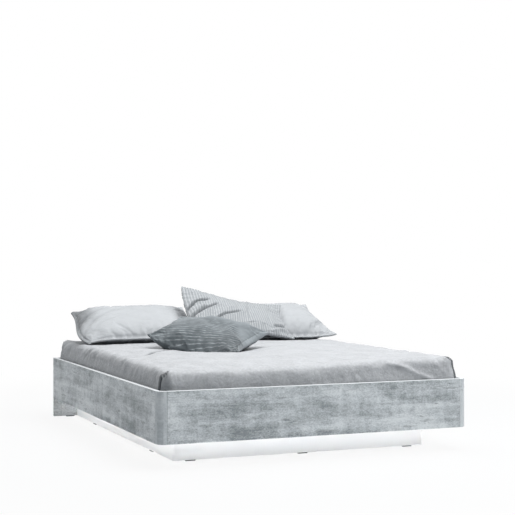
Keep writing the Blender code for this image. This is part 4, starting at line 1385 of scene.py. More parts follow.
    def skin(self, offset: float, hem: float, side_rings: int, edge_rings: int) -> tuple[
            np.ndarray, list[tuple[int, ...]], int]:
        """Points and faces of one skin over the mattress: the sides as rings, the top as a grid.

        Args:
            offset: distance outside the mattress.
            hem: where the skin starts, as a share of the side's height.
            side_rings: rings up the side.
            edge_rings: rings over the rounded edge.

        Returns:
            The points, the faces, and how many stations a ring has.
        """
        rings = self.rings(offset, hem, side_rings, edge_rings)
        count = rings.shape[1]
        faces = ring_faces(0, len(rings), count)
        rim = rings[-1][:, :2]
        base = (len(rings) - 1) * count
        nx, ny = self.columns, self.rows
        foot = rim[:nx + 1]
        right = rim[nx:nx + ny + 1]
        head = rim[nx + ny:2 * nx + ny + 1][::-1]
        left = np.concatenate([rim[2 * nx + ny:], rim[:1]])[::-1]
        u = np.linspace(0, 1, nx + 1)[None, :, None]
        v = np.linspace(0, 1, ny + 1)[:, None, None]
        grid = ((1 - v) * foot[None] + v * head[None] + (1 - u) * left[:, None] + u * right[:, None]
                - (1 - u) * (1 - v) * foot[0] - u * (1 - v) * foot[-1]
                - (1 - u) * v * head[0] - u * v * head[-1])
        inner = grid[1:-1, 1:-1].reshape(-1, 2)
        rise = self.crown_rise(inner[:, 0], inner[:, 1], offset)
        points = [*rings, np.column_stack([inner, self.top_edge + offset + rise])]
        index = np.empty((ny + 1, nx + 1), dtype=int)
        index[0] = base + np.arange(nx + 1)
        index[:, nx] = base + nx + np.arange(ny + 1)
        index[ny] = base + 2 * nx + ny - np.arange(nx + 1)
        index[1:, 0] = base + (2 * nx + 2 * ny - np.arange(1, ny + 1)) % count
        index[1:-1, 1:-1] = base + count + np.arange(len(inner)).reshape(ny - 1, nx - 1)
        faces += grid_faces(index)
        return np.concatenate(points), faces, count


@dataclass
class Mattress:
    """A foam mattress in quilted knitted ticking."""

    form: BedForm
    quilt: float = 0.09
    seam: float = 0.22
    depth: float = 2.5 * MM
    tape_rise: float = 4.5 * MM
    columns: int = 110
    rows: int = 136
    side_rings: int = 12
    edge_rings: int = 7

    def build(self) -> Thing:
        """The closed, quilted body of the mattress, with the tape round its lower edge.

        Returns:
            The body.
        """
        form = replace(self.form, columns=self.columns, rows=self.rows)
        points, faces, count = form.skin(0.0, 0.0, self.side_rings, self.edge_rings)
        x, y, z = points.T
        waves = (x + y + z, x - y + z)
        pucker = np.minimum(*(np.abs(np.sin(math.pi * wave / self.quilt)) for wave in waves))
        inward = points[:count].mean(axis=0) - points
        inward /= np.linalg.norm(inward, axis=1)[:, None]
        points = points + inward * (self.depth * np.exp(-(pucker / self.seam) ** 2))[:, None]
        points[:count, 2] = form.bottom
        points = form.drooped(points)
        faces.append(tuple(range(count))[::-1])
        piece = mesh_object("mattress_body", points, faces)
        wear(piece, TICKING, "mattress")
        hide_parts("mattress")
        rim = guide_object(points[:count] + (0, 0, self.tape_rise), closed=True)
        Piping("edge_tape", TAPE).grow("mattress_edge_tape", rim, "mattress")
        return piece


@dataclass
class FittedSheet:
    """The satin sheet stretched over the mattress: puckered edges, corner pleats, drag lines."""

    form: BedForm
    pillows: Sequence["Pillow"]
    outside: float = SHEET_OUTSIDE
    inside: float = 0.5 * MM
    hem: float = 0.07
    pucker_pitch: float = 0.155
    pucker_height: float = 10.0 * MM
    pleat_height: float = 10.0 * MM
    overhang: float = 6.0 * MM
    overhang_rise: float = 0.03
    side_rings: int = 5
    edge_rings: int = 4

    def puckers(self, along: np.ndarray, drop: np.ndarray, inward: np.ndarray,
                seed: float) -> np.ndarray:
        """Rounded lobes with narrow valleys between them, along one long edge of the mattress.

        Args:
            along: place along the edge.
            drop: distance below the top.
            inward: distance from the side's plane.
            seed: shifts the pattern, so that edges differ.

        Returns:
            How far the cloth stands off.
        """
        zero = np.zeros_like(along)
        line = np.column_stack([along, zero, zero])
        drift = noise_at(line, (3.1, 1, 1), seed) + 0.5 * noise_at(line, (9.0, 1, 1), seed + 3)
        strength = 0.65 + 0.9 * noise_at(line, (5.3, 1, 1), seed + 5)
        bent = noise_at(np.column_stack([along, drop, drop]), (4, 9, 1), seed)
        lean = along - 0.8 * drop - 0.12 * bent
        lobe = np.abs(np.sin(math.pi * (lean / self.pucker_pitch + 1.1 * drift))) ** 0.8 - 0.62
        near_top = smoothstep(0.075, 0.012, drop)
        small = noise_at(np.column_stack([lean, drop * 0.3, zero]), (26, 9, 1), seed + 9)
        fine = noise_at(np.column_stack([lean, drop * 0.5, zero]), (61, 19, 1), seed + 19)
        reach = np.exp(-(np.maximum(inward - 0.03, 0) / 0.05) ** 2)
        folds = self.pucker_height * strength * lobe * near_top
        down = smoothstep(0.19, 0.06, drop)
        lift = folds + 3.6 * MM * small * (0.35 + 0.65 * near_top) + 1.6 * MM * fine * near_top
        return lift * down * reach

    def pressed(self, points: np.ndarray) -> np.ndarray:
        """Where pillows lie on the sheet and flatten it.

        Args:
            points: points of the outer skin.

        Returns:
            1 under a pillow, 0 away from them all.
        """
        share = np.zeros(len(points))
        for pillow in self.pillows:
            matrix = np.array(pillow.placed().inverted())
            local = points @ matrix[:3, :3].T + matrix[:3, 3]
            inside = np.maximum(np.abs(local[:, 0]) - pillow.width / 2,
                                np.abs(local[:, 1]) - pillow.depth / 2)
            share = np.maximum(share, smoothstep(0.03, -0.05, inside))
        return share

    def wrinkles(self, points: np.ndarray) -> np.ndarray:
        """The sheet's folds, puckers and creases.

        Args:
            points: points of the outer skin.

        Returns:
            How far each point stands off its smooth form.
        """
        form = self.form
        x, y, z = points.T
        drop = np.maximum(form.top_edge + self.outside - z, 0)
        upper = smoothstep(0.040, 0.006, drop)
        to_left, to_right = x + form.half_x, form.half_x - x
        to_foot, to_head = y + form.half_y, form.half_y - y
        lift = 1.0 * MM * noise_at(points, (4, 4, 4), 3.0)
        warped = points + 0.04 * noise_at(points, (3, 3, 3), 51.0)[:, None]
        low_fold = 1 - 2 * np.abs(noise_at(warped, (1.8, 5.0, 4.0), 11.0))
        crossed = warped + 0.4 * warped[:, [1, 0, 2]]
        cross_fold = 1 - 2 * np.abs(noise_at(crossed, (7.0, 2.5, 4.0), 31.0))
        small_fold = noise_at(warped, (9.0, 20.0, 9.0), 71.0)
        lift += (4.0 * MM * low_fold + 3.0 * MM * cross_fold + 2.8 * MM * small_fold) * upper
        lift += self.puckers(y, drop, to_left, 2.0) + 0.8 * self.puckers(y, drop, to_right, 23.0)
        lift += 0.45 * self.puckers(x, drop, to_head, 41.0)
        head_left = np.exp(-((y - 0.9) / 0.35) ** 2) * smoothstep(0.16, 0.02, drop)
        lift += 9.0 * MM * (head_left * smoothstep(0.06, 0, to_left))
        foot = smoothstep(0.06, 0.0, to_foot) * (1 - upper)
        slant = np.column_stack([x + 0.45 * (z - form.top_edge), z * 0.25, np.zeros_like(z)])
        lift += foot * 3.4 * MM * noise_at(slant, (11, 6, 1), 5.0)
        lift += foot * 1.4 * MM * noise_at(slant, (30, 8, 1), 15.0)
        for crease in FOOT_CREASES:
            lift += smoothstep(0.08, 0.0, to_foot) * crease.rise(x, z)
        for crease in TOP_CREASES:
            lift += upper * crease.rise(x, y)
        return lift * (1 - 0.85 * self.pressed(points) * upper)

    def pleats(self, points: np.ndarray) -> tuple[np.ndarray, np.ndarray]:
        """The corner pleats: the long sides' cloth laps over the ends' and stops in a sharp edge.

        Args:
            points: points of the outer skin.

        Returns:
            How far the cloth stands off, and the painted shade along each pleat's slit, from 0 to 1.
        """
        form = self.form
        x, y, z = points.T
        lift, depth = np.zeros(len(points)), np.zeros(len(points))
        radius = form.corner_radius
        for sign_x in (-1, 1):
            for sign_y in (-1, 1):
                along = sign_y * y - (form.half_y - radius)
                across = sign_x * x - (form.half_x - radius)
                angle = np.arctan2(along, np.maximum(across, 1e-4)) + (
                    np.maximum(-across, 0) / radius)
                near = (along > -0.12) & (across > -0.12)
                slope = smoothstep(form.top_edge - 0.022, form.top_edge - 3 * MM, z)
                # The foot-right fold lies further round its corner, where the photograph shows it.
                start, wide = (0.80, 7 * MM) if sign_x > 0 > sign_y else (0.10, 3.5 * MM)
                edge = start + 0.62 * slope - 0.30 * (1 - slope) * smoothstep(
                    form.top_edge - 0.12, form.top_edge - 0.06, z)
                reach = np.where(along > 0, (edge - angle) * radius, edge * radius - along)
                behind = np.maximum(-reach, 0)
                lap = self.pleat_height * smoothstep(-1 * MM, 2 * MM, reach) * np.exp(
                    -np.maximum(reach, 0) / 0.026)
                slit = -9.0 * MM * np.exp(-(behind / (6 * MM)) ** 2) * (reach <= 0)
                pulled = 4.0 * MM * np.exp(-((behind - 0.024) / 0.010) ** 2)
                fade = smoothstep(form.top_edge + 5 * MM, form.top_edge - 8 * MM, z)
                lift += np.where(near, (lap + slit + pulled) * fade, 0.0)
                # Painted shade along the pleat's slit, wider at the foot-right corner and near the
                # top.
                dark = 0.95 * np.exp(-((reach + 2 * MM) / (wide + 5 * MM * slope)) ** 2)
                depth += np.where(near, dark * fade, 0.0)
        return lift, depth

    def build(self) -> Thing:
        """A closed thin skin: wrinkled outside, smooth inside, turned in at the hem.

        Returns:
            The sheet.
        """
        form = self.form
        points, faces, count = form.skin(self.outside, self.hem, form.side_rings, form.edge_rings)
        probe = mesh_object("sheet_probe", points, faces)
        normals = np.zeros(len(points) * 3)
        probe.data.vertices.foreach_get("normal", normals)
        bpy.data.objects.remove(probe)
        normals = normals.reshape(-1, 3)
        pleat, depth = self.pleats(points)
        lift = np.maximum(np.maximum(self.wrinkles(points), -1.2 * MM) + pleat, -1.6 * MM)
        outer = points + normals * lift[:, None]
        rings = list(form.rings(self.inside, self.hem, self.side_rings, self.edge_rings))
        rim = rings[-1][:, :2]
        for share in (0.9, 0.8, 0.65, 0.5, 0.35, 0.2, 0.07):
            place = rim * share
            level = form.sheet_top(place[:, 0], place[:, 1]) + self.inside - self.outside
            rings.append(np.column_stack([place, level]))
        base = len(outer)
        middle = float(form.sheet_top(np.zeros(1), np.zeros(1))[0]) + self.inside - self.outside
        inner = np.concatenate([*rings, [[0, 0, middle]]])
        faces += ring_faces(base, len(rings), count, inward=True)
        last, peak = base + (len(rings) - 1) * count, base + len(rings) * count
        for index in range(count):
            after = (index + 1) % count
            faces.append((last + after, last + index, peak))
            faces.append((index, base + index, base + after, after))
        shaped = form.drooped(np.concatenate([outer, inner]))
        # The sheet stays inside the rails, and may swell over them.
        room = RAIL_FACE - self.inside + self.overhang * smoothstep(
            RAIL_TOP, RAIL_TOP + self.overhang_rise, shaped[:, 2])
        shaped[:, 0] = np.clip(shaped[:, 0], -room, room)
        piece = mesh_object("fitted_sheet", shaped, faces)
        # Painted shade along the long diagonal crease on the top, with the pleats' painted shade.
        diagonal = TOP_CREASES[0]
        depth += np.clip(diagonal.rise(points[:, 0], points[:, 1]) / diagonal.height, 0, 1) * (
            points[:, 2] > form.top_edge - 0.01)
        store_painted_shade(piece, np.concatenate([depth, np.zeros(len(inner))]))
        wear(piece, SATIN, "mattress")
        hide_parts("sheet")
        return piece


# Creases on the sheet's foot face, in x and z, and on its top, in x and y: the first one is the
# long diagonal fold.
FOOT_CREASES = (
    Crease(((0.36, 0.458), (0.436, 0.440), (0.493, 0.424), (0.556, 0.392), (0.614, 0.372),
            (0.66, 0.35)), 0.010, 7.5 * MM, 0.15),
    Crease(((0.30, 0.440), (0.42, 0.405), (0.52, 0.362)), 0.020, -3.5 * MM, 0.2),
    Crease(((0.46, 0.456), (0.53, 0.432), (0.60, 0.400), (0.67, 0.372)), 0.016, -6.0 * MM, 0.2),
    Crease(((0.135, 0.446), (0.175, 0.357)), 0.007, 2.6 * MM),
    Crease(((0.160, 0.448), (0.205, 0.355)), 0.006, -1.8 * MM),
    Crease(((0.184, 0.450), (0.236, 0.354)), 0.007, 2.6 * MM),
    Crease(((-0.001, 0.441), (0.043, 0.357)), 0.008, 2.2 * MM),
    Crease(((-0.295, 0.437), (-0.264, 0.369)), 0.009, 2.2 * MM),
    Crease(((0.64, 0.462), (0.70, 0.41), (0.735, 0.36)), 0.012, 3.4 * MM),
    Crease(((-0.76, 0.470), (-0.745, 0.43), (-0.735, 0.37)), 0.016, 6.0 * MM, 0.2),
    Crease(((-0.70, 0.455), (-0.66, 0.40), (-0.60, 0.36)), 0.016, -2.0 * MM, 0.2),
    Crease(((-0.62, 0.462), (-0.50, 0.43), (-0.36, 0.40)), 0.022, 1.6 * MM, 0.2),
)
TOP_CREASES = (
    Crease(((-0.68, -0.34), (-0.629, -0.266), (-0.528, -0.123), (-0.411, 0.024)), 0.011, -9.0 * MM,
           0.3),
    Crease(((-0.64, -0.37), (-0.50, -0.19), (-0.36, -0.01)), 0.024, 6.0 * MM, 0.3),
    Crease(((-0.66, -0.20), (-0.56, -0.05), (-0.46, 0.08)), 0.024, 3.0 * MM, 0.3),
    Crease(((0.10, -0.55), (0.35, -0.50), (0.62, -0.62)), 0.012, 2.4 * MM),
    Crease(((0.05, -0.25), (0.35, -0.20), (0.68, -0.35)), 0.014, 2.4 * MM),
    Crease(((0.0, -0.10), (0.3, 0.02), (0.66, -0.06)), 0.014, 2.4 * MM),
    Crease(((-0.60, -0.78), (-0.45, -0.70), (-0.30, -0.52)), 0.016, 2.6 * MM),
    Crease(((-0.68, -0.86), (-0.55, -0.84), (-0.38, -0.72)), 0.016, -2.2 * MM),
    Crease(((-0.55, -0.62), (-0.30, -0.70), (0.0, -0.66)), 0.014, 1.8 * MM),
)


@dataclass
class Pillow:
    """A stuffed pillow in its cover, shaped by what it lies on and what lies on it."""

    # drawn_in curves the sides in; edge_power and fullness blunt the edges; the bulges, corners,
    # sag and near_arch bend the form; the shades and the shade below are painted shade on cloth that
    # little light reaches; spare_cloth, stiffness, fold_share and fold_limit steer the simulated
    # wrinkles.
    name: str
    node: str
    finish: Finish
    width: float
    depth: float
    thickness: float
    drawn_in: float
    edge_power: float
    corner_lift: float
    centre: tuple[float, float, float]
    turn: tuple[float, float, float]
    bed: BedForm
    flange: float = 0.0
    underside: float | None = None
    cover: "Pillow | None" = None
    creases: tuple[Crease, ...] = ()
    corners: tuple[tuple[float, float, float], ...] = ((0, 0, 0),) * 4
    left_bulge: float = 0.0
    right_bulge: float = 0.0
    left_skew: float = 0.0
    flange_droop: float = 0.0
    near_arch: float = 0.0
    end_shade: float = 0.0
    ear_shade: float = 0.0
    sag: float = 0.0
    fill: float = 0.6
    seed: float = 0.0
    ribs: float = 0.0
    spare_cloth: float = 0.06
    stiffness: float = 0.1
    fold_share: float = 0.8
    fold_limit: float = 10 * MM
    across: int = 130
    along: int = 84
    seam: float = 6 * MM
    fold_shade: float = 0.3
    fullness: float = 2.3
    corner_power: float = 4.0
    painted_shade_below: float = 0.0
    painted_shade_map: Any = 0.0
    body: BVHTree | None = None

    def placed(self) -> Matrix:
        """The pillow's own frame in the bed's frame."""
        turn = Euler([math.radians(angle) for angle in self.turn])
        return Matrix.Translation(self.centre) @ turn.to_matrix().to_4x4()

    def lines(self, count: int, size: float) -> np.ndarray:
        """Grid lines from -1 to 1, closer near the edges, with one line on the flange's seam.

        Args:
            count: how many cells there are.
            size: the cloth's size across the lines.

        Returns:
            The lines' places.
        """
        even = np.linspace(-1, 1, count + 1)
        spread = 0.5 * np.sin(even * math.pi / 2) + 0.5 * even
        if self.flange:
            seam = 1 - 2 * self.flange / size
            for sign in (-1, 1):
                spread[np.argmin(np.abs(spread - sign * seam))] = sign * seam
        return spread

    def surfaces(self) -> tuple[np.ndarray, np.ndarray, np.ndarray]:
        """Lower and upper surface in the pillow's own frame, and the cloth's flat coordinates.

        Returns:
            Lower points, upper points and flat coordinates, each over the rows and columns.
        """
        u, v = np.meshgrid(self.lines(self.across, self.width), self.lines(self.along, self.depth))
        x = self.width / 2 * u * (1 - self.drawn_in * (1 - v * v))
        left_side = self.left_bulge * np.clip(-u, 0, 1) ** 2 * (1 - self.left_skew * v)
        x += (self.right_bulge * np.clip(u, 0, 1) ** 2 - left_side) * (1 - v * v)
        y = self.depth / 2 * v * (1 - self.drawn_in * (1 - u * u))
        inner_u = np.clip(np.abs(u) / (1 - 2 * self.flange / self.width), 0, 1)
        inner_v = np.clip(np.abs(v) / (1 - 2 * self.flange / self.depth), 0, 1)
        swell = ((1 - inner_u ** self.fullness) * (1 - inner_v ** self.fullness)) ** self.edge_power
        flat = np.stack([u * self.width / 2, v * self.depth / 2, np.zeros_like(u)], axis=2)
        points = flat.reshape(-1, 3)
        wide = noise_at(points, (5.5, 5.5, 1), self.seed).reshape(u.shape)
        fine = 1 - 2 * np.abs(noise_at(points, (8, 15, 1), self.seed + 7).reshape(u.shape))
        to_corner = np.hypot((1 - np.abs(u)) * self.width / 2, (1 - np.abs(v)) * self.depth / 2)
        bearing = np.arctan2((1 - np.abs(v)) * self.depth, (1 - np.abs(u)) * self.width)
        fans = np.sin(bearing * 9 + 3 * wide) * np.exp(-(to_corner / 0.11) ** 2)
        edge_gap = np.minimum((1 - inner_u) * self.width, (1 - inner_v) * self.depth) / 2
        pucker = np.sin(x * 130 + 6 * wide) + np.sin(y * 130 + 6 * fine)
        pucker = pucker * np.exp(-edge_gap / 0.035)
        relief = 5.0 * MM * wide + 1.6 * MM * fine + 6.0 * MM * fans + 1.2 * MM * pucker
        half = self.seam / 2 + (self.thickness - self.seam) / 2 * swell
        stuffed = np.clip(swell * 2.2, 0, 1)
        upper_relief = relief * stuffed
        # Painted shade: in the groove beside the flange's seam, in the creases' valleys, and on the
        # left end's ear and the lower right end, which face away from the light.
        shade = 0.2 * np.exp(-(edge_gap / (2.5 * MM)) ** 2) * (self.flange > 0) * (
            (inner_u < 1) & (inner_v < 1))
        for crease in self.creases:
            rise = crease.rise(flat[..., 0], flat[..., 1])
            upper_relief = upper_relief + rise
            shade = shade + np.clip(-rise / (26 * MM), 0, 1) * self.fold_shade
        shade = shade + self.ear_shade * smoothstep(-0.62, -0.92, u) * smoothstep(-0.5, 0.2, v)
        shade = shade + self.end_shade * smoothstep(0.2, 0.75, u) * smoothstep(0.15, -0.45, v)
        self.painted_shade_map = shade
        if self.ribs:
            upper_relief = upper_relief + 0.6 * MM * np.sin(flat[..., 0] * 2 * math.pi / self.ribs)
        wave = 3.0 * MM * wide * (1 - stuffed)
        lift = self.corner_lift * u * u * v * v + wave
        lift = lift - self.sag * np.clip(1 - ((u - 0.2) / 0.95) ** 2, 0, 1) * (0.5 + 0.5 * v)
        lift = lift + self.near_arch * (1 - u ** 4) * ((1 - v) / 2) ** 6
        if self.flange:
            wide_flange = 2 * self.flange / self.width
            lift = lift - self.flange_droop * np.clip((wide_flange - 1 - u) / wide_flange, 0, 1)
        for (move_x, move_y, move_z), (side_u, side_v) in zip(
                self.corners, ((-1, -1), (1, -1), (-1, 1), (1, 1))):
            share = (np.clip((1 + side_u * u) / 2, 0, 1) * np.clip((1 + side_v * v) / 2, 0, 1)
                     ) ** self.corner_power
            x, y, lift = x + move_x * share, y + move_y * share, lift + move_z * share
        high = np.maximum(lift + half + upper_relief, lift - half + self.seam * 0.8)
        upper = np.stack([x, y, high], axis=2)
        low = lift - half - relief * stuffed * 0.6
        if self.underside is not None:
            low = np.maximum(low, -self.underside)
        lower = np.stack([x, y, low], axis=2)
        return lower, upper, flat

    def press(self, points: np.ndarray) -> np.ndarray:
        """Push a surface below the underside of the pillow that lies on this one.

        Args:
            points: rows and columns of points in space.

        Returns:
            The pressed points, with a soft shoulder beside the upper pillow's edge.
        """
        normal = self.cover.placed().to_3x3() @ Vector((0, 0, 1))
        depth = np.zeros((*points.shape[:2], 1))
        for place in np.ndindex(points.shape[:2]):
            point = Vector(points[place])
            hit = self.cover.body.ray_cast(point - 0.5 * normal, normal)[0]
            if hit is not None:
                depth[place] = max((point - hit).dot(normal) + PILLOW_GAP, 0.0)
        return points - np.maximum(depth, softened(depth, 2)) * np.array(normal)

    def settle(self, lower: np.ndarray, upper: np.ndarray) -> tuple[np.ndarray, np.ndarray]:
        """Rest both surfaces on the sheet, under the pillow that lies on this one.

        Args:
            lower: points of the lower surface in space.
            upper: points of the upper surface in space.

        Returns:
            The settled points.
        """
        if self.cover is not None:
            lower, upper = self.press(lower), self.press(upper)
        lower, upper = lower.copy(), upper.copy()
        floor = self.bed.sheet_top(lower[..., 0], lower[..., 1]) + PILLOW_REST
        lower[..., 2] = np.maximum(lower[..., 2], floor)
        upper[..., 2] = np.maximum(upper[..., 2], lower[..., 2] + self.seam * 0.6)
        return lower, upper

    def fill_out(self, piece: Thing) -> np.ndarray:
        """Let the spare cloth buckle over the filling between the fixed seams.

        The cloth simulation's wrinkles are kept and its overall swelling is taken off again, so the
        pillow keeps its size.

        Args:
            piece: the closed pillow.

        Returns:
            The new points.
        """
        start = np.empty(len(piece.data.vertices) * 3)
        piece.data.vertices.foreach_get("co", start)
        start = start.reshape(-1, 3)
        total = len(start) // 2
        index = np.arange(total).reshape(self.along + 1, self.across + 1)
        rim = np.concatenate([index[0], index[-1], index[1:-1, 0], index[1:-1, -1]])
        seams = piece.vertex_groups.new(name="seams")
        seams.add([int(place) for place in np.concatenate([rim, rim + total])], 1.0, "REPLACE")
        cloth = piece.modifiers.new("filling", "CLOTH")
        cloth.settings.quality = 4
        cloth.settings.mass = 0.25
        cloth.settings.tension_stiffness = 12
        cloth.settings.compression_stiffness = 12
        cloth.settings.shear_stiffness = 4
        cloth.settings.bending_stiffness = self.stiffness
        cloth.settings.use_pressure = True
        cloth.settings.uniform_pressure_force = 1.0
        cloth.settings.shrink_min = -self.spare_cloth
        cloth.settings.effector_weights.gravity = 0
        cloth.settings.vertex_group_mass = "seams"
        cloth.collision_settings.use_collision = False
        for step in range(1, SIM_FRAMES + 1):
            bpy.context.scene.frame_set(step)
        evaluated = piece.evaluated_get(bpy.context.evaluated_depsgraph_get())
        moved = np.empty(len(start) * 3)
        evaluated.data.vertices.foreach_get("co", moved)
        piece.modifiers.remove(cloth)
        piece.vertex_groups.clear()
        bpy.context.scene.frame_set(1)
        shift = (moved.reshape(-1, 3) - start).reshape(2, self.along + 1, self.across + 1, 3)
        folds = np.concatenate([(half - softened(half, 8)).reshape(-1, 3) for half in shift])
        length = np.maximum(np.linalg.norm(folds, axis=1), 1e-9)
        return start + folds * (self.fold_share * np.minimum(1, self.fold_limit / length))[:, None]

    def build(self) -> Thing:
        """The closed pillow, laid on the bed, with the cloth's flat map.

        Returns:
            The pillow.
        """
        lower, upper, flat = self.surfaces()
        matrix = np.array(self.placed())
        lower, upper = self.settle(lower @ matrix[:3, :3].T + matrix[:3, 3],
                                   upper @ matrix[:3, :3].T + matrix[:3, 3])
        rows, columns = lower.shape[:2]
        total = rows * columns
        index = np.arange(total).reshape(rows, columns)
        faces = grid_faces(index + total) + [face[::-1] for face in grid_faces(index)]
        rim = np.concatenate([index[0, :-1], index[:-1, -1], index[-1, :0:-1], index[:0:-1, 0]])
        for here, after in zip(rim, np.roll(rim, -1)):
            faces.append((int(here), int(after), int(after) + total, int(here) + total))
        both = np.concatenate([lower.reshape(-1, 3), upper.reshape(-1, 3)])
        piece = mesh_object(self.name, both, faces)
        filled = self.fill_out(piece)
        lower, upper = self.settle(filled[:total].reshape(rows, columns, 3),
                                   filled[total:].reshape(rows, columns, 3))
        piece.data.vertices.foreach_set("co", np.concatenate([lower.ravel(), upper.ravel()]))
        piece.data.update()
        self.body = BVHTree.FromPolygons([vertex.co for vertex in piece.data.vertices], faces)
        cloth = np.concatenate([flat.reshape(-1, 3)] * 2)[:, :2]
        # Painted shade on the underside near the front edge, where little light reaches under the
        # pillow.
        below = self.painted_shade_below * smoothstep(-0.35, -0.75, flat[..., 1] / (self.depth / 2))
        below = below * (flat[..., 1] > -self.depth / 2 + self.flange)
        store_painted_shade(piece, np.concatenate([below.ravel(), self.painted_shade_map.ravel()]))
        layer = piece.data.uv_layers.new(name="cloth")
        corners = np.zeros(len(piece.data.loops), dtype=np.int32)
        piece.data.loops.foreach_get("vertex_index", corners)
        layer.data.foreach_set("uv", cloth[corners].ravel())
        wear(piece, self.finish, self.node)
        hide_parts(self.node)
        if self.flange:
            loop = guide_object(self.seam_loop(upper), closed=True)
            Stitches("seam_stitches", THREAD).grow(f"{self.name}_stitches", loop, self.node)
        return piece

    def seam_loop(self, upper: np.ndarray) -> np.ndarray:
        """Points along the flange's seam, just above the upper surface.

        Args:
            upper: rows and columns of the upper surface.

        Returns:
            The points, in order round the pillow.
        """
        ends = []
        for count, size in ((self.across, self.width), (self.along, self.depth)):
            lines = self.lines(count, size)
            seam = 1 - 2 * self.flange / size
            ends.append([int(np.argmin(np.abs(lines - sign * seam))) for sign in (-1, 1)])
        (left, right), (near, far) = ends
        loop = np.concatenate([upper[near, left:right], upper[near:far, right],
                               upper[far, right:left:-1], upper[far:near:-1, left]])
        return loop + (0, 0, THREAD_RISE)


